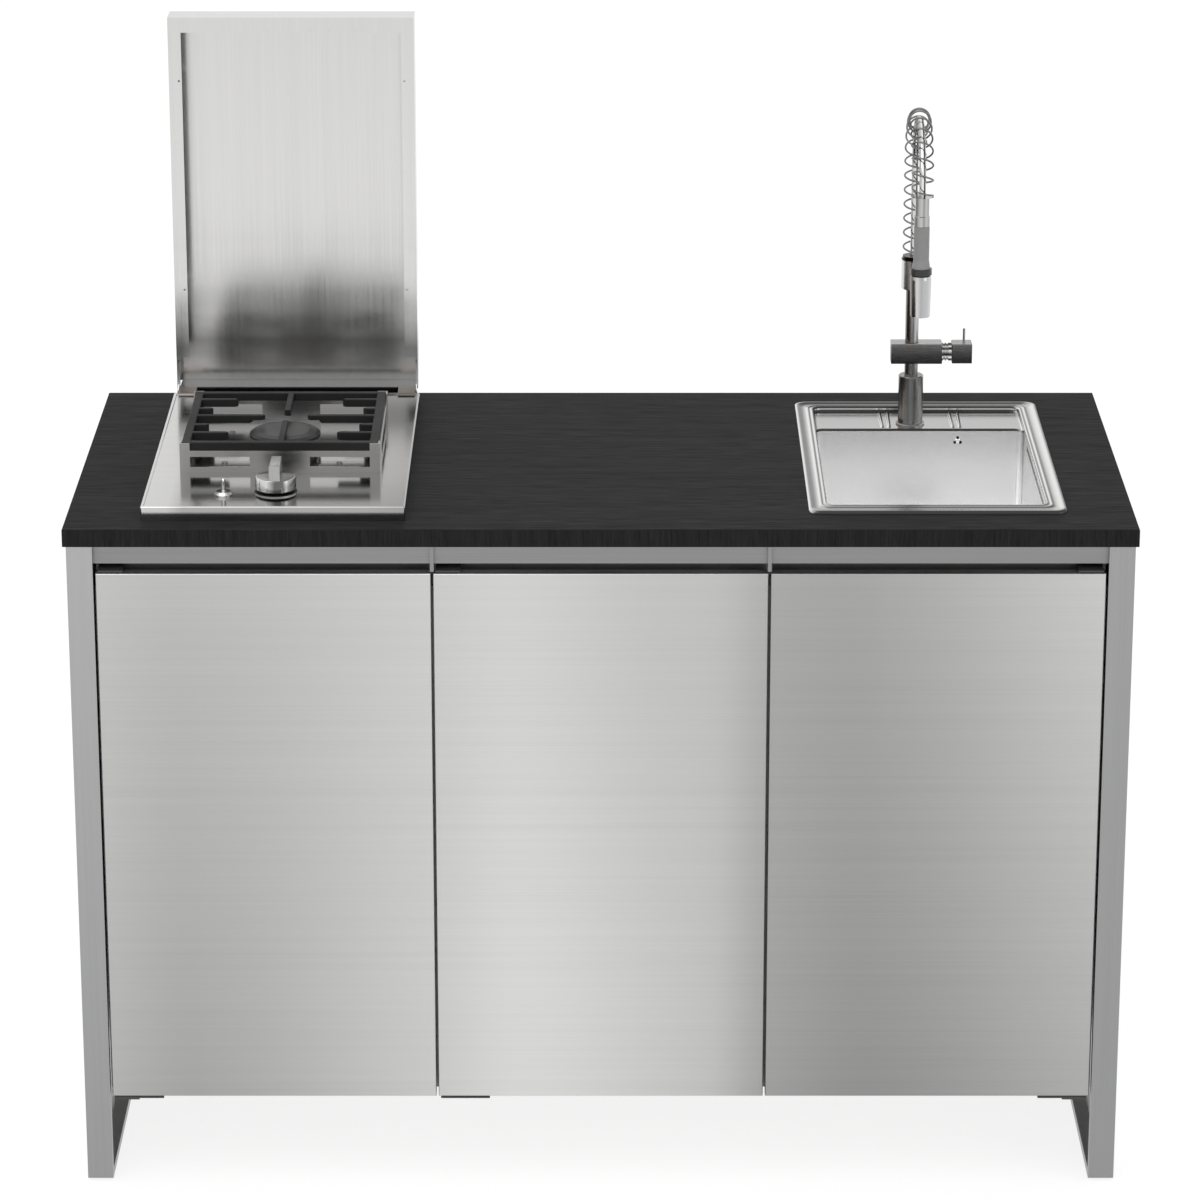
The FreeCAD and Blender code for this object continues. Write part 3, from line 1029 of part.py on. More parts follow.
# seat of the base under the body and bore of the swivelling column above it
pocket(mixer, "XY", "mixer_z - mixer_rise / 2", "mixer_z - mixer_rise / 2 + 1.5",
       circle_of("tap_x", "tap_y", "riser_radius + 0.3"))
pocket(mixer, "XY", "mixer_top - spigot_depth", "mixer_top",
       circle_of("tap_x", "tap_y", "spigot_radius + spigot_fit"))
turned("mixer_neck", [
    ("0", "0"), ("neck_radius", "0"), ("neck_radius", "1.6"), ("neck_radius - 1.5", "2.4"),
    ("neck_radius - 1.5", "3.4"), ("neck_radius", "4.2"), ("neck_radius", "5.8"),
    ("neck_radius - 1.5", "6.6"), ("neck_radius - 1.5", "7.6"), ("neck_radius", "8.4"),
    ("neck_radius", "neck_length"), ("spigot_radius", "neck_length"),
    ("spigot_radius", "neck_length + spigot_depth"), ("0", "neck_length + spigot_depth")],
    "mixer_right_x", "tap_y", "mixer_z", ALONG_X)
handle = body("mixer_handle")
pad(handle, "XY", "mixer_z - handle_rise / 2", "mixer_z + handle_rise / 2",
    box_of("handle_x", "handle_x + handle_length",
           "tap_y - handle_depth / 2", "tap_y + handle_depth / 2"))
round_edges(handle, "mixer_round", lambda e: True)
pocket(handle, "YZ", "handle_x", "handle_x + spigot_depth + 1",
       circle_of("tap_y", "mixer_z", "spigot_radius + spigot_fit"))
LEVER_SINK = "5"
pocket(handle, "XY", f"mixer_z + handle_rise / 2 - {LEVER_SINK}", "mixer_z + handle_rise / 2",
       circle_of("handle_x + handle_length / 2 + 3", "tap_y", "lever_radius"))
turned("lever_pin", [
    ("0", f"-{LEVER_SINK}"), ("lever_radius", f"-{LEVER_SINK}"), ("lever_radius", "lever_length - 1"),
    ("lever_radius - 1", "lever_length"), ("0", "lever_length")],
    "handle_x + handle_length / 2 + 3", "tap_y", "mixer_z + handle_rise / 2")

turned("tap_riser", [
    ("0", "-spigot_depth + 1"), ("spigot_radius", "-spigot_depth + 1"), ("spigot_radius", "0"),
    ("riser_radius", "0"), ("riser_radius", "holder_top - riser_low - holder_cap"),
    ("0", "holder_top - riser_low - holder_cap")], *TAP, "riser_low")
turned("spring_holder", [
    ("riser_radius", "0"), ("holder_radius - 1.5", "0"), ("holder_radius", "1.5"),
    ("holder_radius", "holder_high - holder_low - holder_cap"),
    ("holder_radius - 1.5", "holder_high - holder_low - holder_cap"),
    ("holder_radius - 1.5", "holder_high - holder_low"),
    ("hose_radius + 0.3", "holder_high - holder_low"),
    ("hose_radius + 0.3", "holder_high - holder_low - holder_cap"),
    ("riser_radius", "holder_high - holder_low - holder_cap")], *TAP, "holder_z")

# docking arm: a bar from the holder to a ring round the spray head's waist
dock_z, holder_top = num("dock_z"), num("holder_top")
tap_x, tap_y, spray_y = num("tap_x"), num("tap_y"), num("spray_y")
dock_h = num("dock_height")
ring = Part.makeCylinder(num("dock_radius"), dock_h, Vec(tap_x, spray_y, dock_z))
arm_low = num("holder_top") - num("holder_cap") - num("arm_height") - 2
arm_near = tap_y - num("holder_radius")
half_arm = num("arm_width") / 2
arm_side = [Vec(tap_x - half_arm, arm_near, arm_low),
            Vec(tap_x - half_arm, spray_y + num("dock_radius") - 3, dock_z),
            Vec(tap_x - half_arm, spray_y + num("dock_radius") - 3, dock_z + dock_h),
            Vec(tap_x - half_arm, arm_near, arm_low + num("arm_height"))]
arm = Part.Face(Part.makePolygon(arm_side + [arm_side[0]])).extrude(Vec(num("arm_width"), 0, 0))
ring_bore = Part.makeCylinder(num("spigot_radius") + 1.6, dock_h + 2, Vec(tap_x, spray_y, dock_z - 1))
holder_room = Part.makeCylinder(num("holder_radius"), 60, Vec(tap_x, tap_y, num("holder_z")))
solid_node("docking_arm", ring.fuse(arm).cut(ring_bore).cut(holder_room).removeSplitter())

# hose: up from the holder, over the arch and down into the collars
SPRAY = ("tap_x", "spray_y")
arch_r = num("arch_reach") / 2
arch_z = num("arch_z")
hose_start = Vec(tap_x, tap_y, holder_top - num("holder_cap"))
hose_end = Vec(tap_x, spray_y, num("collar_top"))
hose_path = Part.Wire([
    Part.LineSegment(hose_start, Vec(tap_x, tap_y, arch_z)).toShape(),
    Part.Arc(Vec(tap_x, tap_y, arch_z), Vec(tap_x, tap_y - arch_r, arch_z + arch_r),
             Vec(tap_x, spray_y, arch_z)).toShape(),
    Part.LineSegment(Vec(tap_x, spray_y, arch_z), hose_end).toShape()])
solid_node("hose", tube("hose", hose_path, num("hose_radius")))

# spring round the hose: turns along the same centre line
spring_low = holder_top + 2 * num("spring_wire")
leg_up = arch_z - spring_low
leg_down = arch_z - num("spring_end_z")
arc_length = math.pi * arch_r
spring_length = leg_up + arc_length + leg_down


def centre_line(s):
    """Point and direction of the neck's centre line after a length s from the spring's foot."""
    if s <= leg_up:
        return Vec(tap_x, tap_y, spring_low + s), Vec(0, 0, 1)
    if s <= leg_up + arc_length:
        angle = (s - leg_up) / arch_r
        point = Vec(tap_x, tap_y - arch_r + arch_r * math.cos(angle), arch_z + arch_r * math.sin(angle))
        return point, Vec(0, -math.sin(angle), math.cos(angle))
    return Vec(tap_x, spray_y, arch_z - (s - leg_up - arc_length)), Vec(0, 0, -1)


def coil_point(s):
    """Point on the wire's centre line, wound left-handed, after a length s along the neck."""
    point, direction = centre_line(s)
    across = Vec(1, 0, 0)
    outward = direction.cross(across)
    angle = 2 * math.pi * num("spring_turns") * s / spring_length
    offset = across * math.cos(angle) - outward * math.sin(angle)
    return point + offset * num("spring_radius")


def coil_tangent(s):
    step = 0.01
    return (coil_point(s + step) - coil_point(s - step)).normalize()


def biarc(p0, t0, p1, t1):
    """Two arcs, tangent to each other, from p0 along t0 to p1 along t1."""
    chord = p1 - p0
    both = t0 + t1
    b = chord.dot(both)
    a = 2 * (1 - t0.dot(t1))
    reach = (-b + math.sqrt(b * b + a * chord.dot(chord))) / a
    joint = (p0 + t0 * reach + p1 - t1 * reach) * 0.5
    return [arc_from(p0, t0, joint), arc_from(p1, t1 * -1, joint)]


def arc_from(start, tangent, end):
    """The arc that leaves start along tangent and reaches end."""
    chord = end - start
    side = chord - tangent * chord.dot(tangent)
    side.normalize()
    sweep = 2 * tangent.getAngle(chord)
    radius = chord.Length / (2 * math.sin(sweep / 2))
    middle = start + tangent * (radius * math.sin(sweep / 2)) + side * (radius * (1 - math.cos(sweep / 2)))
    return Part.Arc(start, middle, end).toShape()


def spring_shape():
    """One unbroken wire on biarcs of a quarter turn, each end run out straight by one wire."""
    quarters = int(num("spring_turns") * 4)
    stations = [spring_length * i / quarters for i in range(quarters + 1)]
    edges = []
    for s0, s1 in zip(stations, stations[1:]):
        first, second = biarc(coil_point(s0), coil_tangent(s0), coil_point(s1), coil_tangent(s1))
        reversed_second = Part.Arc(second.valueAt(second.LastParameter),
                                   second.valueAt((second.FirstParameter + second.LastParameter) / 2),
                                   second.valueAt(second.FirstParameter)).toShape()
        edges += [first, reversed_second]
    wire = num("spring_wire")
    start, end = coil_point(stations[0]), coil_point(stations[-1])
    lead_in = Part.LineSegment(start - coil_tangent(stations[0]) * 2 * wire, start).toShape()
    lead_out = Part.LineSegment(end, end + coil_tangent(stations[-1]) * 2 * wire).toShape()
    return tube("spring", Part.Wire([lead_in] + edges + [lead_out]), wire, tolerance=0.03)


def spring_gap():
    """Least distance between the surfaces of neighbouring turns, measured on points."""
    turns = int(num("spring_turns"))
    samples = [coil_point(spring_length * i / (turns * 24)) for i in range(turns * 24 + 1)]
    least = min((samples[i] - samples[j]).Length
                for i in range(len(samples)) for j in range(i + 14, min(i + 60, len(samples))))
    return least - 2 * num("spring_wire")


print(f"spring: length {spring_length:.1f} mm, least gap between turns {spring_gap():.2f} mm")
solid_node("spring", spring_shape())

COLLAR_TOP = "collar_low_height + collar_high_height + spring_seat - 2 * spring_wire - 0.2"
turned("hose_collars", [
    ("hose_radius", "collar_low_height"), ("0", "collar_low_height"), ("0", "0"),
    ("collar_low_radius - 0.8", "0"), ("collar_low_radius", "0.8"),
    ("collar_low_radius", "collar_low_height - 0.8"), ("collar_high_radius", "collar_low_height"),
    ("collar_high_radius", "collar_low_height + collar_high_height - 1"),
    ("spring_radius + spring_wire", "collar_low_height + collar_high_height"),
    ("spring_radius + spring_wire", COLLAR_TOP), ("hose_radius", COLLAR_TOP)], *SPRAY, "collar_z")
turned("spray_grip", [
    ("0", "-dock_height - 2 * dock_play"), ("spigot_radius + 1", "-dock_height - 2 * dock_play"),
    ("spigot_radius + 1", "0"), ("grip_foot", "0"), ("grip_foot", "2"),
    ("grip_radius", "12"), ("grip_radius", "grip_height - 1"), ("grip_radius - 1", "grip_height"),
    ("0", "grip_height")], *SPRAY, "grip_z")
turned("spray_bell", [
    ("0", "14"), ("bell_radius - 3.5", "14"), ("bell_radius - 3.5", "0"), ("bell_radius - 1.6", "0"),
    ("bell_radius - 1", "0.8"), ("bell_radius - 0.4", "bell_height * 0.5"),
    ("bell_radius", "bell_height * 0.9"), ("bell_radius - 0.8", "bell_height - 1.5"),
    ("bell_radius - 2.4", "bell_height"), ("0", "bell_height")], *SPRAY, "bell_z")

# ---------------------------------------------------------------- screws
screw_places += TRAY_SCREWS


def screw(index, x, y, z, up):
    """A pan-head screw driven upward (1) or downward (-1) with its head against z."""
    head_low = f"({z}) - screw_head_height" if up > 0 else z
    shank_low = z if up > 0 else f"({z}) - screw_length"
    head = rod(f"screw_head_{index}", "screw_head", "screw_head_height", x, y, head_low)
    shank = rod(f"screw_shank_{index}", "screw_radius", "screw_length", x, y, shank_low)
    return fuse(f"screw_{index}", [head, shank])


group("screws", [screw(i, *place) for i, place in enumerate(screw_places)])

# ---------------------------------------------------------------- check and write
doc.recompute()
for obj in doc.Objects:
    if "Invalid" in obj.State or "Error" in obj.State:
        raise RuntimeError(f"{obj.Label} failed: {obj.State}")
os.makedirs("parts", exist_ok=True)
for node in NODES:
    if node.Shape.isNull() or not node.Shape.isValid():
        raise RuntimeError(f"{node.Label} has no valid shape")
    node.Shape.exportStep(os.path.join("parts", f"{node.Label}.step"))
print(len(NODES), "nodes")
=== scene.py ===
import bmesh
import bpy
import math
from bpy.props import FloatProperty, FloatVectorProperty, IntProperty, PointerProperty
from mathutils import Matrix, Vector


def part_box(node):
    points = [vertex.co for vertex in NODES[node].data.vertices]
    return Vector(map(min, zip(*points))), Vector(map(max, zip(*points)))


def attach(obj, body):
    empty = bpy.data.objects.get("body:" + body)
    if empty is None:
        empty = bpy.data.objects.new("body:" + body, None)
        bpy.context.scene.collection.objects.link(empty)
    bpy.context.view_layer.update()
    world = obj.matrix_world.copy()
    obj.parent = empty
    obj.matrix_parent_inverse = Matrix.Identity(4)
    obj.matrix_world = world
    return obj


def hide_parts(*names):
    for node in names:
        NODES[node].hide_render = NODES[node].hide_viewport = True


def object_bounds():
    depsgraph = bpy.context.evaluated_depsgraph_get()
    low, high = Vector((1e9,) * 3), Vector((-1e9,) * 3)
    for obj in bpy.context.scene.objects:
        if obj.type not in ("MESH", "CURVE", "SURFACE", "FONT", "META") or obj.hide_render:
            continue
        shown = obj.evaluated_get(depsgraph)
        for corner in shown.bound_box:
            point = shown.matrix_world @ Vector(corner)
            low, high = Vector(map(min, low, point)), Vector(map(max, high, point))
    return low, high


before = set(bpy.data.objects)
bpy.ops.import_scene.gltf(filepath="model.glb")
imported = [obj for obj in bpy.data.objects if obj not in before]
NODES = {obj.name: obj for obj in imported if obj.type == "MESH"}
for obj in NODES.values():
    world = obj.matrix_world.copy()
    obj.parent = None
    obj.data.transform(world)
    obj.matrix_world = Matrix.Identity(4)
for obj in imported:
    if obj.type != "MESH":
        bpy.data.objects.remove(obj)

bl_info = {
    "name": "Kitchenette unit",
    "version": (1, 0, 0),
    "blender": (4, 5, 0),
    "location": "View3D > Sidebar > Kitchenette",
    "description": "Finishes and detailed pieces of a kitchenette unit with a hob and a sink",
    "category": "Object",
}

CAD_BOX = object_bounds()
MM = 0.001
WORKTOP_TOP = 0.93


# ---------------------------------------------------------------- settings
class SteelSettings(bpy.types.PropertyGroup):
    """Brushed steel of the doors, side frames, hob, lid and sink."""
    door_roughness: FloatProperty(
        name="Door roughness", description="Blur of the reflections in the doors",
        default=0.36, min=0.05, max=1.0, subtype="FACTOR")
    frame_tint: FloatVectorProperty(
        name="Frame colour", description="Colour of the side frames", subtype="COLOR",
        default=(0.43, 0.43, 0.433), min=0.0, max=1.0)
    hob_tint: FloatVectorProperty(
        name="Hob colour", description="Colour of the hob tray and the pan frame",
        subtype="COLOR", default=(0.52, 0.515, 0.51), min=0.0, max=1.0)
    lid_tint: FloatVectorProperty(
        name="Lid colour", description="Colour of the lid", subtype="COLOR",
        default=(0.66, 0.657, 0.652), min=0.0, max=1.0)
    sink_tint: FloatVectorProperty(
        name="Sink colour", description="Colour of the sink", subtype="COLOR",
        default=(0.90, 0.90, 0.90), min=0.0, max=1.0)


class WorktopSettings(bpy.types.PropertyGroup):
    """Black wood-grain laminate of the worktop."""
    dark: FloatVectorProperty(
        name="Dark grain", description="Colour of the dark grain", subtype="COLOR",
        default=(0.009, 0.009, 0.0095), min=0.0, max=1.0)
    light: FloatVectorProperty(
        name="Light grain", description="Colour of the light grain", subtype="COLOR",
        default=(0.026, 0.026, 0.027), min=0.0, max=1.0)


class TapSettings(bpy.types.PropertyGroup):
    """Spring and hose of the tap."""
    spring_turns: IntProperty(
        name="Spring turns", description="Number of turns along the whole neck", default=19, min=4)
    spring_wire: FloatProperty(
        name="Spring wire", description="Radius of the spring's wire", default=0.0013,
        min=0.0005, unit="LENGTH")
    hose_radius: FloatProperty(
        name="Hose radius", description="Outer radius of the hose in the spring", default=0.0048,
        min=0.001, unit="LENGTH")


class StageSettings(bpy.types.PropertyGroup):
    """Floor, light and camera."""
    floor_tint: FloatVectorProperty(
        name="Floor colour", description="Colour of the plain floor", subtype="COLOR",
        default=(0.93, 0.93, 0.93), min=0.0, max=1.0)
    floor_glow: FloatProperty(
        name="Floor glow", description="How far the floor is lifted to white for the camera",
        default=0.84, min=0.0, max=1.0)
    world_level: FloatProperty(
        name="Room light", description="Strength of the even light from all round",
        default=0.86, min=0.0)
    lamp_power: FloatProperty(
        name="Softbox power", description="Power of the large lamp above", default=30.0,
        min=0.0, unit="POWER")


# ---------------------------------------------------------------- shader helpers
def put(tree, kind, **values):
    """A new node whose unlinked inputs, named with _ for a space, get these values."""
    node = tree.nodes.new(kind)
    for name, value in values.items():
        node.inputs[name.replace("_", " ")].default_value = value
    return node


def math_node(tree, operation, first, second, third=None):
    """Output of one maths operation; each value is a number or a socket."""
    node = tree.nodes.new("ShaderNodeMath")
    node.operation = operation
    for socket, value in zip(node.inputs, (first, second, third)):
        if value is None:
            continue
        if isinstance(value, (int, float)):
            socket.default_value = value
        else:
            tree.links.new(value, socket)
    return node.outputs[0]


def vector_math(tree, operation, first, second):
    """Output of one vector operation on two sockets."""
    node = tree.nodes.new("ShaderNodeVectorMath")
    node.operation = operation
    tree.links.new(first, node.inputs[0])
    tree.links.new(second, node.inputs[1])
    return node.outputs["Value" if operation == "DOT_PRODUCT" else "Vector"]


def clamped(tree, value):
    """A value kept between 0 and 1."""
    node = tree.nodes.new("ShaderNodeClamp")
    tree.links.new(value, node.inputs["Value"])
    return node.outputs[0]


def own_place(tree, output="Object"):
    """Place in the object's own axes or, as "Normal", the way its surface faces in them."""
    return tree.nodes.new("ShaderNodeTexCoord").outputs[output]


def parts_of(tree, vector):
    """The X, Y and Z sockets of a vector."""
    node = tree.nodes.new("ShaderNodeSeparateXYZ")
    tree.links.new(vector, node.inputs[0])
    return node.outputs


def added_masks(tree, first, second, share):
    """Two masks added, with this share of the first and the rest of the second."""
    return math_node(tree, "MULTIPLY_ADD", first, share,
                     math_node(tree, "MULTIPLY", second, 1 - share))


def blend_colours(tree, factor, dark, light):
    """Colour between dark and light; each is a colour or a socket."""
    node = tree.nodes.new("ShaderNodeMix")
    node.data_type = "RGBA"
    tree.links.new(factor, node.inputs["Factor"])
    for socket, value in ((node.inputs[6], dark), (node.inputs[7], light)):
        if isinstance(value, bpy.types.NodeSocket):
            tree.links.new(value, socket)
        else:
            socket.default_value = (*value[:3], 1.0)
    return node.outputs[2]


def span_value(tree, value, low, high, start=0.0, stop=1.0):
    """A value from start..stop mapped to low..high and clamped."""
    node = tree.nodes.new("ShaderNodeMapRange")
    tree.links.new(value, node.inputs["Value"])
    for name, number in (("From Min", start), ("From Max", stop), ("To Min", low), ("To Max", high)):
        node.inputs[name].default_value = number
    return node.outputs["Result"]


def new_group(name, inputs, outputs):
    """An empty shader group with its sockets; returns the tree and its input and output nodes."""
    tree = bpy.data.node_groups.new(name, "ShaderNodeTree")
    for label, kind, default in inputs:
        socket = tree.interface.new_socket(name=label, in_out="INPUT", socket_type=kind)
        socket.default_value = default
    for label, kind in outputs:
        tree.interface.new_socket(name=label, in_out="OUTPUT", socket_type=kind)
    return tree, tree.nodes.new("NodeGroupInput"), tree.nodes.new("NodeGroupOutput")


def streak_group():
    """Fine lines drawn out along one axis: Stretch is how often the lines change per metre."""
    tree, given, result = new_group(
        "Streaks", (("Stretch", "NodeSocketVector", (3.0, 200.0, 800.0)),
                    ("Contrast", "NodeSocketFloat", 0.5)), (("Value", "NodeSocketFloat"),))
    stretched = vector_math(tree, "MULTIPLY", own_place(tree), given.outputs["Stretch"])
    noise = put(tree, "ShaderNodeTexNoise", Scale=1.0, Detail=3.0, Roughness=0.62)
    tree.links.new(stretched, noise.inputs["Vector"])
    centred = math_node(tree, "SUBTRACT", noise.outputs["Fac"], 0.5)
    spread = math_node(tree, "MULTIPLY", given.outputs["Contrast"], 4.0)
    value = math_node(tree, "MULTIPLY_ADD", centred, spread, 0.5)
    tree.links.new(clamped(tree, value), result.inputs["Value"])
    return tree


def tone_group():
    """Runs from 0 at one point of the object to 1 at another."""
    tree, given, result = new_group(
        "Tone along", (("From", "NodeSocketVector", (0.0, 0.0, 0.0)),
                       ("To", "NodeSocketVector", (0.0, 0.0, 1.0))), (("Value", "NodeSocketFloat"),))
    way = vector_math(tree, "SUBTRACT", given.outputs["To"], given.outputs["From"])
    here = vector_math(tree, "SUBTRACT", own_place(tree), given.outputs["From"])
    share = math_node(tree, "DIVIDE", vector_math(tree, "DOT_PRODUCT", here, way),
                      vector_math(tree, "DOT_PRODUCT", way, way))
    tree.links.new(clamped(tree, share), result.inputs["Value"])
    return tree


def speckle_group():
    """Small even grains, as on cast iron, moulded plastic and enamel."""
    tree, given, result = new_group(
        "Speckle", (("Grains per metre", "NodeSocketFloat", 900.0),
                    ("Broad patches", "NodeSocketFloat", 12.0)),
        (("Grain", "NodeSocketFloat"), ("Patch", "NodeSocketFloat")))
    place = own_place(tree)
    for name, source, detail in (("Grain", "Grains per metre", 2.0), ("Patch", "Broad patches", 4.0)):
        noise = put(tree, "ShaderNodeTexNoise", Detail=detail, Roughness=0.55)
        tree.links.new(place, noise.inputs["Vector"])
        tree.links.new(given.outputs[source], noise.inputs["Scale"])
        tree.links.new(span_value(tree, noise.outputs["Fac"], 0.0, 1.0, 0.3, 0.7),
                       result.inputs[name])
    return tree


def grain_group():
    """Wood grain printed on laminate: broad waving bands with fine pores in them."""
    tree, given, result = new_group(
        "Wood grain", (("Stretch", "NodeSocketVector", (1.6, 42.0, 42.0)),),
        (("Band", "NodeSocketFloat"), ("Pores", "NodeSocketFloat")))
    stretched = vector_math(tree, "MULTIPLY", own_place(tree), given.outputs["Stretch"])
    band = put(tree, "ShaderNodeTexNoise", Scale=1.0, Detail=5.0, Roughness=0.6, Distortion=0.5)
    tree.links.new(stretched, band.inputs["Vector"])
    fine = tree.nodes.new("ShaderNodeVectorMath")
    fine.operation = "SCALE"
    fine.inputs["Scale"].default_value = 9.0
    tree.links.new(stretched, fine.inputs[0])
    pores = put(tree, "ShaderNodeTexNoise", Scale=1.0, Detail=2.0, Roughness=0.5)
    tree.links.new(fine.outputs[0], pores.inputs["Vector"])
    tree.links.new(span_value(tree, band.outputs["Fac"], 0.0, 1.0, 0.32, 0.68),
                   result.inputs["Band"])
    tree.links.new(span_value(tree, pores.outputs["Fac"], 0.0, 1.0, 0.35, 0.65),
                   result.inputs["Pores"])
    return tree


def side_group():
    """Which way the surface faces: 1 towards a direction, 0 away from it."""
    tree, given, result = new_group(
        "Facing side", (("Direction", "NodeSocketVector", (1.0, 0.0, 0.0)),),
        (("Value", "NodeSocketFloat"),))
    share = vector_math(tree, "DOT_PRODUCT", own_place(tree, "Normal"), given.outputs["Direction"])
    tree.links.new(math_node(tree, "MULTIPLY_ADD", share, 0.5, 0.5), result.inputs["Value"])
    return tree


def slope_group():
    """Slopes of a pressed sheet: 0 where it falls to the left, 1 to the right or along."""
    tree, given, result = new_group(
        "Slopes", (("Across", "NodeSocketFloat", 1.2), ("Along", "NodeSocketFloat", 1.0)),
        (("Value", "NodeSocketFloat"),))
    parts = parts_of(tree, own_place(tree, "Normal"))
    across = math_node(tree, "MULTIPLY_ADD", parts["X"], given.outputs["Across"], 0.5)
    along = math_node(tree, "ABSOLUTE", parts["Y"], 0.0)
    value = math_node(tree, "MULTIPLY_ADD", along, given.outputs["Along"], across)
    tree.links.new(clamped(tree, value), result.inputs["Value"])
    return tree


def box_group():
    """1 inside a box given by its centre and half its size, 0 outside."""
    tree, given, result = new_group(
        "In a box", (("Centre", "NodeSocketVector", (0.0, 0.0, 0.0)),
                     ("Half size", "NodeSocketVector", (0.01, 0.01, 0.01))),
        (("Value", "NodeSocketFloat"),))
    away = vector_math(tree, "SUBTRACT", own_place(tree), given.outputs["Centre"])
    parts = parts_of(tree, vector_math(tree, "DIVIDE", away, given.outputs["Half size"]))
    sides = [math_node(tree, "ABSOLUTE", parts[axis], 0.0) for axis in "XYZ"]
    farthest = math_node(tree, "MAXIMUM", math_node(tree, "MAXIMUM", sides[0], sides[1]), sides[2])
    tree.links.new(math_node(tree, "LESS_THAN", farthest, 1.0), result.inputs["Value"])
    return tree


GROUPS = {}


def shared(maker):
    """The one copy of a shared node group."""
    if maker.__name__ not in GROUPS:
        GROUPS[maker.__name__] = maker()
    return GROUPS[maker.__name__]


def use_group(tree, maker, **values):
    """A node of a shared group whose inputs, named with _ for a space, get these values."""
    node = tree.nodes.new("ShaderNodeGroup")
    node.node_tree = shared(maker)
    for name, value in values.items():
        node.inputs[name.replace("_", " ")].default_value = value
    return node


def new_material(name, **values):
    """A material with one Principled shader; returns it, its tree and its shader."""
    material = bpy.data.materials.new(name)
    material.use_nodes = True
    tree = material.node_tree
    shader = tree.nodes["Principled BSDF"]
    for label, value in values.items():
        shader.inputs[label.replace("_", " ")].default_value = value
    return material, tree, shader


def add_bump(tree, shader, height, distance, strength=0.5):
    """Small relief of a given height in metres on the shader's normal."""
    bump = put(tree, "ShaderNodeBump", Strength=strength, Distance=distance)
    tree.links.new(height, bump.inputs["Height"])
    tree.links.new(bump.outputs["Normal"], shader.inputs["Normal"])


def scaled_colour(tree, colour, value, low, high):
    """A colour socket made darker or lighter where a value runs from 0 to 1."""
    node = tree.nodes.new("ShaderNodeVectorMath")
    node.operation = "SCALE"
    tree.links.new(colour, node.inputs[0])
    tree.links.new(span_value(tree, value, low, high), node.inputs["Scale"])
    return node.outputs[0]


def even(tint):
    """Tone with one colour all over."""
    def build(tree):
        node = tree.nodes.new("ShaderNodeRGB")
        node.outputs[0].default_value = (*tint, 1.0)
        return node.outputs[0]
    return build


def shade_ramp(tree, value, shades, interpolation="B_SPLINE"):
    """Greys or colours at places from 0 to 1, blended between them."""
    ramp = tree.nodes.new("ShaderNodeValToRGB")
    ramp.color_ramp.interpolation = interpolation
    stops = ramp.color_ramp.elements
    while len(stops) < len(shades):
        stops.new(0.5)
    for stop, (place, level) in zip(stops, shades):
        stop.position = place
        stop.color = (*level, 1.0) if isinstance(level, tuple) else (level, level, level * 0.99, 1.0)
    tree.links.new(value, ramp.inputs["Fac"])
    return ramp.outputs["Color"]


def painted_reflection_bands(shades, direction=(1.0, 0.0, 0.0)):
    """Tone with painted light and dark reflection bands round a piece, as a studio shows in bright
    metal.
    """
    def build(tree):
        side = use_group(tree, side_group, Direction=direction)
        return shade_ramp(tree, side.outputs["Value"], shades, "LINEAR")
    return build


def gradient(start, stop, shades):
    """Tone that changes from one point of the object to another."""
    def build(tree):
        way = use_group(tree, tone_group, From=start, To=stop)
        return shade_ramp(tree, way.outputs["Value"], shades, "LINEAR")
    return build


def spotted(tone, centre, half):
    """A tone with one dark box in it, given by its centre and half its size."""
    def build(tree):
        spot = use_group(tree, box_group, Centre=centre, Half_size=half)
        return blend_colours(tree, spot.outputs["Value"], tone(tree), (0.004, 0.004, 0.004))
    return build


def tinted(tint, shades):
    """One colour made darker or lighter at places from 0 to 1."""
    return [(place, tuple(part * share for part in tint)) for place, share in shades]


def brushed(name, tone, stretch, roughness, play=0.10, grain=0.55, anisotropy=0.0, metal=1.0):
    """Brushed or satin metal with lines along the axis where stretch is small.

    tone(tree) gives the socket of its colour.
    """
    material, tree, shader = new_material(
        name, Metallic=metal, Anisotropic=anisotropy, Specular_IOR_Level=0.5)
    fine = use_group(tree, streak_group, Stretch=stretch, Contrast=grain)
    broad = use_group(tree, streak_group, Stretch=[part * 0.13 for part in stretch], Contrast=0.5)
    lines = added_masks(tree, broad.outputs["Value"], fine.outputs["Value"], 0.45)
    tree.links.new(scaled_colour(tree, tone(tree), lines, 1 - play, 1 + play),
                   shader.inputs["Base Color"])
    tree.links.new(span_value(tree, lines, roughness + 0.05, roughness - 0.05),
                   shader.inputs["Roughness"])
    if anisotropy:
        turn = tree.nodes.new("ShaderNodeTangent")
        turn.direction_type = "RADIAL"
        turn.axis = "Z"
        tree.links.new(turn.outputs[0], shader.inputs["Tangent"])
    add_bump(tree, shader, fine.outputs["Value"], 0.00002, 0.35)
    return material


def speckled(name, dark, light, roughness, grains=900.0, relief=0.00005, metallic=0.0, coat=0.0,
             specular=0.5):
    """Cast, moulded or painted stuff: two close colours in patches, with a fine relief."""
    material, tree, shader = new_material(
        name, Metallic=metallic, Coat_Weight=coat, Specular_IOR_Level=specular)
    speckle = use_group(tree, speckle_group, Grains_per_metre=grains)
    mixed = added_masks(tree, speckle.outputs["Grain"], speckle.outputs["Patch"], 0.35)
    tree.links.new(blend_colours(tree, mixed, dark, light), shader.inputs["Base Color"])
    tree.links.new(span_value(tree, speckle.outputs["Patch"], roughness + 0.05, roughness - 0.04),
                   shader.inputs["Roughness"])
    add_bump(tree, shader, speckle.outputs["Grain"], relief)
    return material


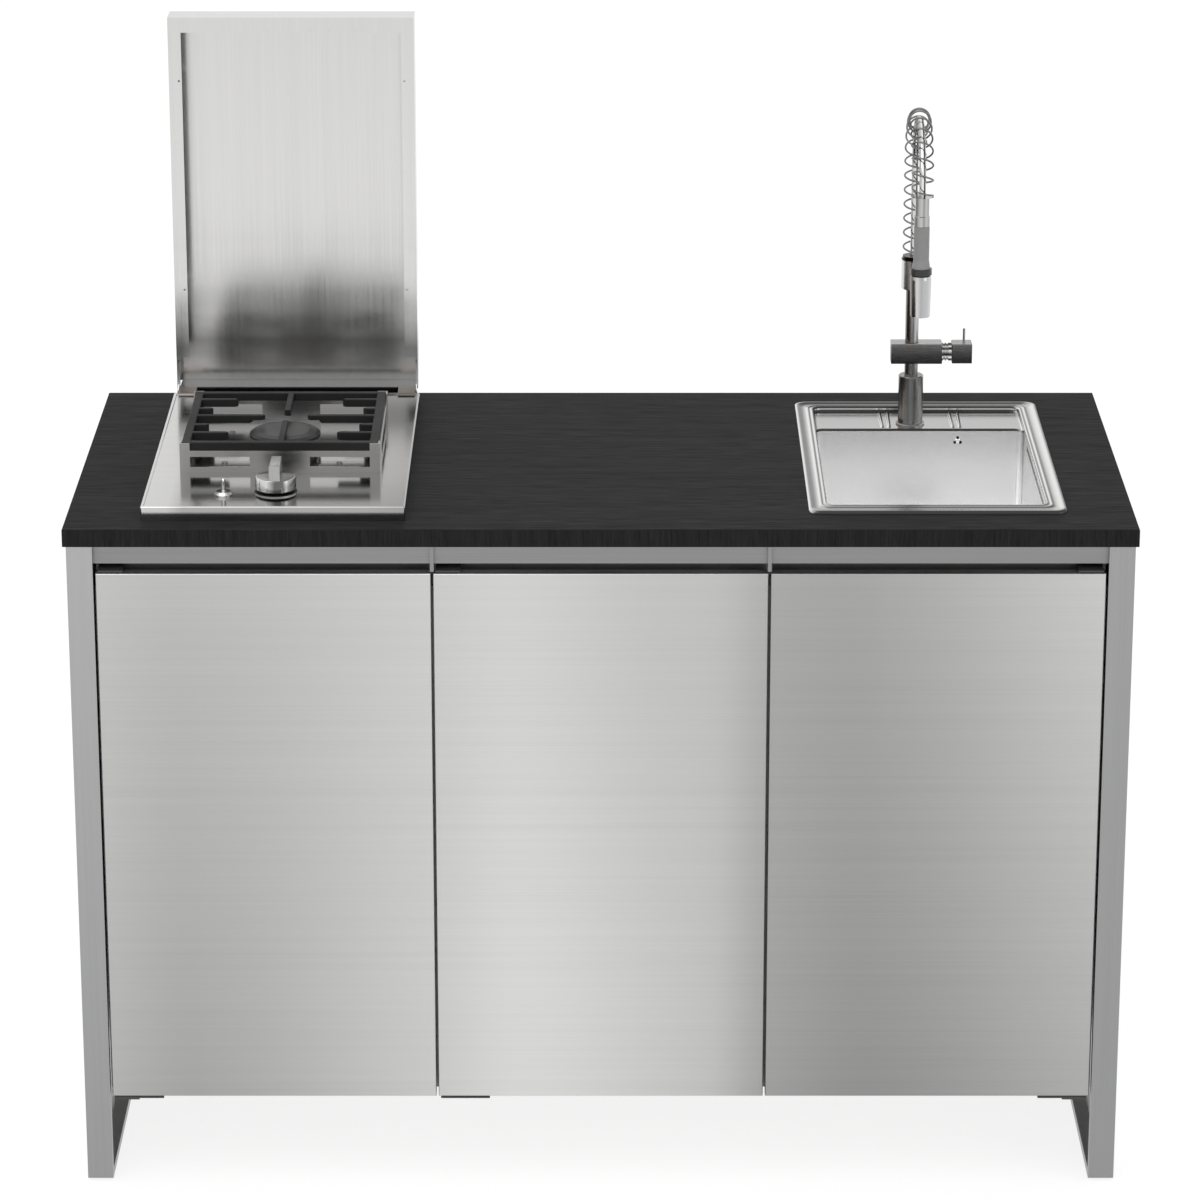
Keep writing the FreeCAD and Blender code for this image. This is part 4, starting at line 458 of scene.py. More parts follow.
def polished(name, tone, roughness):
    """Bright chrome with faint wiping marks; tone(tree) gives the socket of its colour."""
    material, tree, shader = new_material(name, Metallic=1.0)
    speckle = use_group(tree, speckle_group, Grains_per_metre=60.0, Broad_patches=9.0)
    tree.links.new(scaled_colour(tree, tone(tree), speckle.outputs["Patch"], 0.92, 1.0),
                   shader.inputs["Base Color"])
    tree.links.new(span_value(tree, speckle.outputs["Grain"], roughness * 0.7, roughness * 1.6),
                   shader.inputs["Roughness"])
    return material


# ---------------------------------------------------------------- mesh helpers
def finish_node(name, material, edge=0.0):
    """Gives a CAD node its material and, where edge is set, a small rounding of its edges."""
    obj = NODES[name]
    if not obj.data.materials:
        obj.data.materials.append(material)
    for item in obj.material_slots:
        item.material = material
    if edge:
        rounding = obj.modifiers.new("Edge rounding", "BEVEL")
        rounding.width = edge
        rounding.segments = 2
        rounding.limit_method = "ANGLE"
        rounding.angle_limit = math.radians(35.0)
        rounding.harden_normals = True
    return obj


def finish_nodes(**materials):
    """Gives each CAD node named here its material."""
    for name, material in materials.items():
        finish_node(name, material)


def new_piece(name, shape, body, stands_for, *materials):
    """A mesh or curve that rides on a body and stands for a CAD node."""
    obj = bpy.data.objects.new(name, shape)
    bpy.context.scene.collection.objects.link(obj)
    for material in materials:
        shape.materials.append(material)
    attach(obj, body)
    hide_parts(stands_for)
    return obj


def mesh_from(name, build, smooth=30.0):
    """A mesh filled by build(bm); edges sharper than the angle stay sharp."""
    bm = bmesh.new()
    build(bm)
    bmesh.ops.recalc_face_normals(bm, faces=bm.faces)
    mesh = bpy.data.meshes.new(name)
    bm.to_mesh(mesh)
    bm.free()
    for face in mesh.polygons:
        face.use_smooth = True
    mesh.set_sharp_from_angle(angle=math.radians(smooth))
    return mesh


def round_wire(name, points, radius):
    """A curve with a round section through points."""
    curve = bpy.data.curves.new(name, "CURVE")
    curve.dimensions = "3D"
    curve.bevel_depth = radius
    curve.bevel_resolution = 3
    curve.use_fill_caps = True
    line = curve.splines.new("POLY")
    line.points.add(len(points) - 1)
    for point, place in zip(line.points, points):
        point.co = (*place, 1.0)
    line.use_smooth = True
    return curve


def rounded_ring(bm, low, high, radius, height, steps=8):
    """Vertices of a level rectangle with rounded corners between two plan corners."""
    corners = ((high[0] - radius, low[1] + radius), (high[0] - radius, high[1] - radius),
               (low[0] + radius, high[1] - radius), (low[0] + radius, low[1] + radius))
    ring = []
    for quarter, (x, y) in enumerate(corners):
        for step in range(steps + 1):
            turn = math.radians(90 * (quarter - 1 + step / steps))
            ring.append(bm.verts.new((x + radius * math.cos(turn), y + radius * math.sin(turn),
                                      height)))
    return ring


def bridge(bm, one, other, material=0):
    """Faces between two closed rings of the same length."""
    for i in range(len(one)):
        j = (i + 1) % len(one)
        bm.faces.new((one[i], one[j], other[j], other[i])).material_index = material


def dip(distance, radius):
    """Drop of a rounded edge of this radius at a distance from its rim."""
    if distance >= radius:
        return 0.0
    return radius - math.sqrt(max(radius ** 2 - (radius - distance) ** 2, 0.0))


def middle(name):
    """Middle of a CAD node's box."""
    low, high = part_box(name)
    return (low + high) / 2


# ---------------------------------------------------------------- finishes of the big pieces
def door_painted_reflection(low, high, head, foot):
    """Painted reflections in soft upright bands: shades across its head and across its foot."""
    def build(tree):
        across = use_group(tree, tone_group, From=(low.x, 0, 0), To=(high.x, 0, 0))
        down = use_group(tree, tone_group, From=(0, 0, high.z), To=(0, 0, low.z))
        return blend_colours(tree, down.outputs["Value"],
                             shade_ramp(tree, across.outputs["Value"], head),
                             shade_ramp(tree, across.outputs["Value"], foot))
    return build


def laminate(name, stretch, dark, light, roughness):
    """Wood-grain laminate with its grain along the axis where stretch is small."""
    material, tree, shader = new_material(name, Specular_IOR_Level=0.22)
    grain = use_group(tree, grain_group, Stretch=stretch)
    mixed = added_masks(tree, grain.outputs["Pores"], grain.outputs["Band"], 0.45)
    tree.links.new(blend_colours(tree, mixed, dark, light), shader.inputs["Base Color"])
    tree.links.new(span_value(tree, grain.outputs["Pores"], roughness + 0.06, roughness - 0.06),
                   shader.inputs["Roughness"])
    add_bump(tree, shader, grain.outputs["Pores"], 0.00004)
    return material


# ---------------------------------------------------------------- operators for groups of pieces
class KITCHENETTE_OT_side_frames(bpy.types.Operator):
    """Finishes the two side frames, the sheets in them and their glides"""
    bl_idname = "kitchenette.side_frames"
    bl_label = "Side frames"

    # painted shade: each frame's brightness at the head and, as a share of that, at the foot
    FRAME_PAINTED_SHADE = (("left", 1.0, 0.72), ("right", 0.82, 0.84))

    def execute(self, context):
        steel = context.scene.kitchenette_steel
        for side, head, foot in self.FRAME_PAINTED_SHADE:
            tint = [part * head for part in steel.frame_tint]
            # each frame painted darker towards its foot, the right one darker than the left, as painted
            # shade
            tone = gradient((0, 0, WORKTOP_TOP), (0, 0, 0), tinted(tint, ((0.0, 1.0), (1.0, foot))))
            finish_node("side_frame_" + side, brushed(
                "Frame steel " + side, tone, (700.0, 700.0, 5.0), 0.38, play=0.05), edge=0.0008)
        inner = brushed("Infill steel", even((0.74, 0.74, 0.74)), (600.0, 5.0, 300.0), 0.4,
                        play=0.05, metal=0.3)
        rubber = speckled("Glide rubber", (0.012,) * 3, (0.02,) * 3, 0.7)
        finish_nodes(side_infill_panels=inner, floor_glides=rubber)
        return {"FINISHED"}


class KITCHENETTE_OT_worktop(bpy.types.Operator):
    """Finishes the worktop in black wood-grain laminate"""
    bl_idname = "kitchenette.worktop"
    bl_label = "Worktop"

    def execute(self, context):
        grain = context.scene.kitchenette_worktop
        material, tree, shader = new_material("Worktop laminate", Specular_IOR_Level=0.03)
        flat = use_group(tree, grain_group, Stretch=(2.2, 70.0, 70.0))
        edge = use_group(tree, grain_group, Stretch=(260.0, 260.0, 6.0))
        parts = parts_of(tree, tree.nodes.new("ShaderNodeNewGeometry").outputs["Normal"])
        up = math_node(tree, "GREATER_THAN", math_node(tree, "ABSOLUTE", parts["Z"], 0.0), 0.5)
        masks = []
        for output in ("Band", "Pores"):
            chosen = tree.nodes.new("ShaderNodeMix")
            chosen.data_type = "FLOAT"
            tree.links.new(up, chosen.inputs["Factor"])
            tree.links.new(edge.outputs[output], chosen.inputs[2])
            tree.links.new(flat.outputs[output], chosen.inputs[3])
            masks.append(chosen.outputs[0])
        tree.links.new(blend_colours(tree, added_masks(tree, masks[1], masks[0], 0.5),
                                     grain.dark, grain.light),
                       shader.inputs["Base Color"])
        tree.links.new(span_value(tree, masks[1], 0.62, 0.5), shader.inputs["Roughness"])
        add_bump(tree, shader, masks[1], 0.00004)
        finish_node("worktop", material)
        return {"FINISHED"}


class KITCHENETTE_OT_carcass(bpy.types.Operator):
    """Finishes the boards inside the cabinet"""
    bl_idname = "kitchenette.carcass"
    bl_label = "Carcass"

    def execute(self, context):
        across = laminate("Board laminate", (30.0, 30.0, 1.2), (0.50, 0.49, 0.47),
                          (0.60, 0.59, 0.57), 0.55)
        for name in ("carcass_sides", "dividers", "bottom_panel", "back_panel", "shelf",
                     "shelf_cleats", "door_core_left", "door_core_middle", "door_core_right"):
            finish_node(name, across)
        return {"FINISHED"}


class KITCHENETTE_OT_doors(bpy.types.Operator):
    """Finishes the three doors in horizontally brushed steel with painted reflections in soft upright
    bands
    """
    bl_idname = "kitchenette.doors"
    bl_label = "Doors"

    # painted reflections: shades from the left to the right edge, at the head and at the foot
    DOOR_PAINTED_REFLECTION = {
        "left": (((0.0, 0.55), (0.3, 0.46), (1.0, 0.63)), ((0.0, 0.46), (0.3, 0.30), (1.0, 0.62))),
        "middle": (((0.0, 0.57), (0.25, 0.66), (0.6, 0.52), (0.85, 0.54), (1.0, 0.41)),
                   ((0.0, 0.54), (0.25, 0.71), (0.6, 0.57), (0.85, 0.53), (1.0, 0.33))),
        "right": (((0.0, 0.41), (0.35, 0.34), (1.0, 0.62)), ((0.0, 0.37), (0.35, 0.23), (1.0, 0.44))),
    }

    def execute(self, context):
        steel = context.scene.kitchenette_steel
        for name, (head, foot) in self.DOOR_PAINTED_REFLECTION.items():
            tone = door_painted_reflection(*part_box("door_skin_" + name), head, foot)
            material = brushed(f"Door steel {name}", tone, (2.5, 500.0, 620.0),
                               steel.door_roughness, play=0.045, anisotropy=0.5)
            finish_node("door_skin_" + name, material)
        return {"FINISHED"}


class KITCHENETTE_OT_rails(bpy.types.Operator):
    """Finishes the recessed rails, brackets, catches and screws"""
    bl_idname = "kitchenette.rails"
    bl_label = "Rails and fittings"

    def execute(self, context):
        rail = brushed("Rail aluminium", even((0.28, 0.28, 0.28)), (4.0, 400.0, 500.0), 0.4,
                       play=0.05)
        dark = speckled("Bracket coating", (0.03,) * 3, (0.05,) * 3, 0.45)
        nylon = speckled("Catch nylon", (0.10,) * 3, (0.14,) * 3, 0.5)
        bright = polished("Screw plating", even((0.5, 0.5, 0.5)), 0.2)
        finish_nodes(grip_rails=rail, pivot_brackets_lower=dark, pivot_brackets_upper=dark,
                     door_catches=nylon, screws=bright)
        return {"FINISHED"}


class KITCHENETTE_OT_hob(bpy.types.Operator):
    """Finishes the hob tray, its box and the pan frame"""
    bl_idname = "kitchenette.hob"
    bl_label = "Hob"

    # painted reflection: brightness of the tray from its left to its right edge
    TRAY_PAINTED_REFLECTION = ((0.0, 1.12), (0.1, 1.06), (0.16, 0.76), (0.85, 0.74), (1.0, 0.66))

    def execute(self, context):
        steel = context.scene.kitchenette_steel
        low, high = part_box("hob_tray")
        tone = gradient((low.x, 0, 0), (high.x, 0, 0), tinted(steel.hob_tint, self.TRAY_PAINTED_REFLECTION))
        tray = brushed("Hob steel", tone, (3.5, 520.0, 520.0), 0.13, play=0.04)
        pan = brushed("Pan frame steel", even([part * 0.8 for part in steel.hob_tint]),
                      (4.0, 500.0, 600.0), 0.22, play=0.05)
        zinc = speckled("Zinc coating", (0.30, 0.31, 0.32), (0.42, 0.43, 0.44), 0.45,
                        grains=80.0, metallic=0.9)
        finish_nodes(hob_tray=tray, hob_box=zinc)
        finish_node("burner_frame", pan, edge=0.0004)
        return {"FINISHED"}


class KITCHENETTE_OT_burner(bpy.types.Operator):
    """Finishes the burner and its two probes"""
    bl_idname = "kitchenette.burner"
    bl_label = "Burner"

    def execute(self, context):
        alloy = speckled("Burner alloy", (0.22, 0.215, 0.21), (0.32, 0.31, 0.30), 0.4,
                         grains=700.0, metallic=1.0)
        enamel = speckled("Cap enamel", (0.016,) * 3, (0.026,) * 3, 0.42, specular=0.3)
        tip = speckled("Probe ceramic", (0.62, 0.60, 0.56), (0.74, 0.72, 0.68), 0.35)
        finish_nodes(burner_cup=alloy, burner_crown=alloy, burner_cap=enamel, spark_electrode=tip,
                     thermocouple=alloy)
        return {"FINISHED"}


class KITCHENETTE_OT_grate(bpy.types.Operator):
    """Finishes the cast-iron grate"""
    bl_idname = "kitchenette.grate"
    bl_label = "Grate"

    def execute(self, context):
        iron = speckled("Cast iron", (0.010, 0.010, 0.010), (0.020, 0.020, 0.021), 0.55,
                        grains=700.0, relief=0.00018, specular=0.18)
        finish_node("grate", iron, edge=0.0006)
        return {"FINISHED"}


class KITCHENETTE_OT_controls(bpy.types.Operator):
    """Makes the knob and finishes the igniter and the gas fittings"""
    bl_idname = "kitchenette.controls"
    bl_label = "Knob and igniter"

    # painted reflection bands round the igniter's pin and the knob's skirt
    PIN_PAINTED_REFLECTION = ((0.0, 0.16), (0.2, 0.22), (0.34, 0.85), (0.55, 0.9), (0.7, 0.35), (1.0, 0.2))
    SKIRT_PAINTED_REFLECTION = ((0.0, 0.30), (0.07, 0.62), (0.3, 0.66), (0.42, 0.34), (0.5, 0.14), (0.7, 0.15),
                   (0.78, 0.5), (0.86, 0.36), (1.0, 0.08))
    # knob: height in mm over its foot and half the width of the grip bar there
    BAR = ((0.3, 11.2), (2, 11.0), (5, 10.3), (8, 9.4), (11, 8.6), (14, 8.0), (17, 7.6), (21, 7.4),
           (34.6, 7.2), (35.8, 6.9), (36.4, 6.2))
    # knob: half the length of the grip bar, and how it shortens over a height, in mm
    BAR_REACH, TAPER_FROM, TAPER = 25.4, 34.0, 0.35
    # knob: radius and height of the skirt's outline in mm
    SKIRT = ((26.3, 0.1), (26.9, 0.7), (26.9, 15.6), (26.3, 16.6), (25.2, 17.0), (10, 17.0))

    def execute(self, context):
        chrome = polished("Igniter chrome", painted_reflection_bands(self.PIN_PAINTED_REFLECTION), 0.07)
        brass = speckled("Valve brass", (0.45, 0.32, 0.13), (0.60, 0.44, 0.2), 0.35, metallic=1.0)
        pipe = polished("Pipe metal", even((0.5, 0.5, 0.51)), 0.3)
        self.knob()
        ring_low, ring_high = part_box("knob_ring")
        # the ring's lower part is painted light as a reflection of the skirt; its upper part is black
        rim = gradient((0, 0, ring_low.z), (0, 0, ring_high.z),
                       ((0.0, 0.42), (0.55, 0.42), (0.62, 0.01), (1.0, 0.01)))
        finish_node("knob_ring", brushed("Knob ring steel", rim, (400.0, 400.0, 14.0), 0.3,
                                         play=0.04))
        finish_nodes(igniter_collar=chrome, igniter_button=chrome, gas_valve=brass,
                     valve_spindle=brass, gas_pipe=pipe)
        return {"FINISHED"}

    def knob(self):
        """Round skirt with a grip bar that flares into it at the foot."""
        low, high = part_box("knob")
        centre = middle("knob")

        def build(bm):
            rings = []
            for radius, height in self.SKIRT:
                rings.append([bm.verts.new((centre.x + radius * MM * math.cos(turn),
                                            centre.y + radius * MM * math.sin(turn),
                                            low.z + height * MM))
                              for turn in (math.tau * k / 96 for k in range(96))])
            for one, other in zip(rings, rings[1:]):
                bridge(bm, one, other)
            bm.faces.new(rings[0])
            bm.faces.new(rings[-1])
            top = (high.z - low.z) / MM
            rings = []
            for height, half in self.BAR:
                length = self.BAR_REACH - max(height - self.TAPER_FROM, 0.0) * self.TAPER
                corner = (half * MM, length * MM)
                rings.append(rounded_ring(
                    bm, (centre.x - corner[0], centre.y - corner[1]),
                    (centre.x + corner[0], centre.y + corner[1]), 0.8 * MM,
                    low.z + min(height, top) * MM, steps=4))
            for one, other in zip(rings, rings[1:]):
                bridge(bm, one, other, 1)
            bm.faces.new(rings[-1]).material_index = 1

        skirt = brushed("Knob skirt steel", painted_reflection_bands(self.SKIRT_PAINTED_REFLECTION), (500.0, 500.0, 14.0), 0.2,
                        play=0.04)
        front = low.y
        # painted shade: the grip bar lighter at its front and darker towards its back
        tone = gradient((0, front, 0), (0, high.y, 0), ((0.0, 0.40), (0.12, 0.40), (0.25, 0.5),
                                                        (0.6, 0.3), (1.0, 0.16)))
        mark = ((centre.x, front + 0.003, low.z + 0.003), (0.0015, 0.004, 0.003))
        bar = brushed("Knob grip steel", spotted(tone, *mark), (500.0, 500.0, 14.0), 0.22,
                      play=0.04)
        new_piece("knob_detailed", mesh_from("knob_detailed", build, 40.0), "knob", "knob",
                  skirt, bar)


class KITCHENETTE_OT_lid(bpy.types.Operator):
    """Finishes the lid, its hinges and the cover behind them"""
    bl_idname = "kitchenette.lid"
    bl_label = "Lid"

    FOLD = 0.0011      # the cover's folded edge, which closes the line under the lid
    # painted reflection: brightness down the open lid, painted darker where it mirrors the grate
    LID_PAINTED_REFLECTION = ((0.0, 0.97), (0.4, 1.02), (0.6, 1.04), (0.66, 1.15), (0.72, 1.4), (0.795, 1.42),
                  (0.833, 1.1), (0.872, 0.58), (0.91, 0.66), (0.948, 0.95), (1.0, 1.0))

    def execute(self, context):
        steel = context.scene.kitchenette_steel
        low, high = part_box("lid")
        tone = gradient((0, 0, high.z), (0, 0, low.z), tinted(steel.lid_tint, self.LID_PAINTED_REFLECTION))
        sheet = brushed("Lid steel", tone, (520.0, 520.0, 3.5), 0.2, play=0.03)
        strip = brushed("Cover steel", even((0.22, 0.22, 0.22)), (3.0, 500.0, 500.0), 0.2, play=0.05)
        hinge = brushed("Hinge steel", even((0.30, 0.25, 0.21)), (400.0, 20.0, 400.0), 0.3,
                        play=0.06)
        finish_node("lid", sheet)
        finish_node("lid_hinge_blocks", hinge, edge=0.0005)
        fold = finish_node("hinge_cover", strip).modifiers.new("Folded edge", "SOLIDIFY")
        fold.thickness = self.FOLD
        fold.offset = 1.0
        return {"FINISHED"}


class KITCHENETTE_OT_sink(bpy.types.Operator):
    """Makes the pressed sink and finishes its waste, overflow and trap"""
    bl_idname = "kitchenette.sink"
    bl_label = "Sink"

    # rim: share of the way from its edge to the bowl, and height over the worktop in mm
    RIM = ((0.0, 0.0), (0.01, 2.0), (0.045, 3.2), (0.11, 3.8), (0.16, 3.75), (0.22, 3.2),
           (0.3, 2.3), (0.38, 1.6), (0.46, 1.25), (0.54, 1.2), (0.6, 1.5), (0.66, 2.3),
           (0.7, 2.75), (0.74, 2.5), (0.79, 1.7), (0.83, 1.65), (0.88, 2.3), (0.93, 2.75),
           (0.97, 2.3), (1.0, 1.0), (1.0, 0.2))
    SIDE, FRONT, BACK = 0.0255, 0.035, 0.023     # widths of the rim
    ROUND = (0.014, 0.012)                       # corners of the rim's edge and of the bowl
    LEDGE_DEPTH, LEDGE_DROP, ROLL = 0.087, 0.009, 0.003
    FOOT = 0.010                                 # fillet between the walls and the floor
    WASTE_HOLE = 0.036                           # radius
    RIBS = ((0.397, 0.0046), (0.495, 0.0046))    # middle of each rib and half the way across it
    RIB_SPREAD, RIB_EDGE, RIB_RISE = 0.0012, 0.0028, 0.0019
    RIB_START, RIB_RUN = 0.06, 0.05              # shares of the ledge's depth
    COLUMNS, ROWS = 560, 20                      # cells of the ledge between its finer edges
    NEAR = (0.0, 0.0002, 0.0006, 0.0012, 0.002, 0.003, 0.0045)     # cells at the ledge's edges
    NEAR_WIDTH = 0.006
    SLOT_MIDDLE, SLOT_DROP = -0.049, 0.016       # dark box of painted shade for a slot in the right wall, from the sink's top
    SLOT_SHADE_HALF = (0.002, 0.137, 0.004)
    # painted light: near-white tone of the bowl's walls
    PAINTED_LIGHT = (0.97, 0.97, 0.97)
    HOLE_AWAY, HOLE_SIZE = 0.48, 0.25            # overflow's holes, as shares of its radius

    def execute(self, context):
        steel = context.scene.kitchenette_steel
        low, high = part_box("sink")
        deck = high.z - 0.004
        opening = ((low.x + self.SIDE, low.y + self.FRONT), (high.x - self.SIDE, high.y - self.BACK))
        bowl_back = opening[1][1] - self.LEDGE_DEPTH
        ledge = high.z - self.LEDGE_DROP
        floor = middle("sink_waste")
        floor_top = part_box("sink_waste")[1].z - 0.0016

        def rim(bm):
            rings = []
            for share, height in self.RIM:
                radius = self.ROUND[0] + (self.ROUND[1] - self.ROUND[0]) * share
                rings.append(rounded_ring(
                    bm, (low.x + self.SIDE * share, low.y + self.FRONT * share),
                    (high.x - self.SIDE * share, high.y - self.BACK * share), radius,
                    deck + height * MM))
            for one, other in zip(rings, rings[1:]):
                bridge(bm, one, other)
            wall = rounded_ring(bm, *opening, self.ROUND[1], ledge - self.ROLL)
            bridge(bm, rings[-1], wall, 1)

        def bowl(bm):
            corner = (opening[1][0], bowl_back)
            rings = [rounded_ring(bm, opening[0], corner, self.ROUND[1], ledge - self.ROLL)]
            for step in range(9):
                turn = math.radians(11.25 * step)
                inset = self.FOOT * (1 - math.cos(turn))
                rings.append(rounded_ring(
                    bm, (opening[0][0] + inset, opening[0][1] + inset),
                    (corner[0] - inset, corner[1] - inset), max(self.ROUND[1] - inset, 0.002),
                    floor_top + self.FOOT * (1 - math.sin(turn))))
            count = len(rings[0])
            start = math.atan2(rings[-1][0].co.y - floor.y, rings[-1][0].co.x - floor.x)
            rings.append([bm.verts.new((
                floor.x + self.WASTE_HOLE * math.cos(start + math.tau * k / count),
                floor.y + self.WASTE_HOLE * math.sin(start + math.tau * k / count), floor_top))
                for k in range(count)])
            for one, other in zip(rings, rings[1:]):
                bridge(bm, one, other, 1)

        def shelf(bm):
            width = opening[1][0] - opening[0][0]
            columns = self.cells(width, self.COLUMNS)
            depth = self.LEDGE_DEPTH
            rows = self.cells(depth, self.ROWS)
            grid = []
            for part in columns:
                side = min(part, width - part)
                back = -dip(side, self.ROUND[1])
                line = []
                for row in rows:
                    x, y = opening[0][0] + part, bowl_back + row + back
                    rise = dip(side, self.ROLL) + dip(depth - row, self.ROLL)
                    height = ledge + rise - dip(row, self.ROLL) + self.rib(x, row / depth)
                    line.append(bm.verts.new((x, y, height)))
                grid.append(line)
            for one, other in zip(grid, grid[1:]):
                for j in range(len(rows) - 1):
                    bm.faces.new((one[j], other[j], other[j + 1], one[j + 1]))

        def build(bm):
            rim(bm)
            bowl(bm)
            shelf(bm)

        slopes = brushed("Sink rim steel", self.rim_painted_reflection, (4.0, 420.0, 420.0), 0.2, play=0.03)
        slot_shade = (opening[1][0], self.SLOT_MIDDLE, high.z - self.SLOT_DROP)
        # painted light: the bowl darker near the ledge and lighter towards its floor
        bowl_painted_light = gradient((0, 0, ledge), (0, 0, floor_top), (
            *tinted(steel.sink_tint, ((0.0, 0.72), (0.35, 0.95))), (0.8, self.PAINTED_LIGHT)))

        # painted light: the back wall takes that gradient, the walls facing elsewhere are painted
        # nearly white
        def wall_painted_light(tree):
            facing = use_group(tree, side_group, Direction=(0.0, -1.0, 0.0))
            return blend_colours(tree, span_value(tree, facing.outputs["Value"], 0.0, 1.0, 0.6, 0.95),
                                 self.PAINTED_LIGHT, bowl_painted_light(tree))

        # the bowl's walls carry a dark box of painted shade for the slot
        inside = brushed("Sink bowl steel", spotted(wall_painted_light, slot_shade, self.SLOT_SHADE_HALF),
                         (120.0, 120.0, 6.0), 0.25, play=0.012, grain=0.15)
        new_piece("sink_pressed", mesh_from("sink_pressed", build, 50.0), "cabinet", "sink",
                  slopes, inside)
        chrome = polished("Waste chrome", even((0.75, 0.75, 0.76)), 0.1)
        plastic = speckled("Trap plastic", (0.66, 0.66, 0.65), (0.74, 0.74, 0.73), 0.4)
        finish_nodes(sink_waste=chrome, sink_strainer=chrome, waste_trap=plastic)
        self.overflow()
        return {"FINISHED"}

    def cells(self, length, count):
        """Places of the ledge's grid lines along a side, closer together at both of its ends."""
        inner = length - 2 * self.NEAR_WIDTH
        return [*self.NEAR, *(self.NEAR_WIDTH + inner * i / count for i in range(count + 1)),
                *(length - part for part in reversed(self.NEAR))]

    def overflow(self):
        """Domed chrome plate with painted reflection bands, and three black discs painted as the shade
        in its holes.
        """
        low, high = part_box("overflow_plate")
        centre = (low + high) / 2
        reach = (high.x - low.x) / 2

        def dome(bm, x, z, radius, base, rise, material):
            rings = []
            for share in (1.0, 0.97, 0.88, 0.7, 0.45, 0.15):
                height = base + rise * math.sqrt(1 - share ** 2)
                rings.append([bm.verts.new((x + radius * share * math.cos(turn), height,
                                            z + radius * share * math.sin(turn)))
                              for turn in (math.tau * k / 40 for k in range(40))])
            for one, other in zip(rings, rings[1:]):
                bridge(bm, one, other, material)
            bm.faces.new(rings[-1]).material_index = material
            bm.faces.new(rings[0]).material_index = material

        def build(bm):
            dome(bm, centre.x, centre.z, reach, high.y, low.y - high.y, 0)
            for turn in (90, 210, 330):
                away = reach * self.HOLE_AWAY
                x = centre.x + away * math.cos(math.radians(turn))
                z = centre.z + away * math.sin(math.radians(turn))
                top = high.y + (low.y - high.y) * math.sqrt(1 - self.HOLE_AWAY ** 2)
                dome(bm, x, z, reach * self.HOLE_SIZE, top, (low.y - high.y) * 0.12, 1)

        plate = polished("Overflow chrome", painted_reflection_bands(((0.0, 0.3), (0.35, 0.7), (0.5, 0.95), (1.0, 0.6)),
                                                  (0.3, 0.0, 0.95)), 0.1)
        hole_shade = speckled("Overflow hole shade", (0.004,) * 3, (0.006,) * 3, 0.7, specular=0.1)
        new_piece("overflow_domed", mesh_from("overflow_domed", build, 60.0), "cabinet",
                  "overflow_plate", plate, hole_shade)

    def rib(self, x, share):
        """Height of the two ribs pressed into the ledge, each with a furrow along its middle."""
        ends = min(share, 1 - share)
        if ends < self.RIB_START:
            return 0.0
        rise = 0.0
        for centre, half in self.RIBS:
            spread = half + self.RIB_SPREAD * share
            away = abs(abs(x - centre) - spread)
            if away < self.RIB_EDGE:
                rise += self.RIB_RISE * (1 + math.cos(math.pi * away / self.RIB_EDGE)) / 2
        return rise * min((ends - self.RIB_START) / self.RIB_RUN, 1.0)

    @staticmethod
    def rim_painted_reflection(tree):
        """Rim painted darker where it slopes to the right, forwards or backwards, as a painted
        reflection.
        """
        slope = use_group(tree, slope_group, Across=1.25, Along=1.15)
        return shade_ramp(tree, slope.outputs["Value"], (
            (0.0, 0.80), (0.25, 0.64), (0.5, 0.44), (0.75, 0.2), (0.92, 0.09), (1.0, 0.05)),
            "LINEAR")


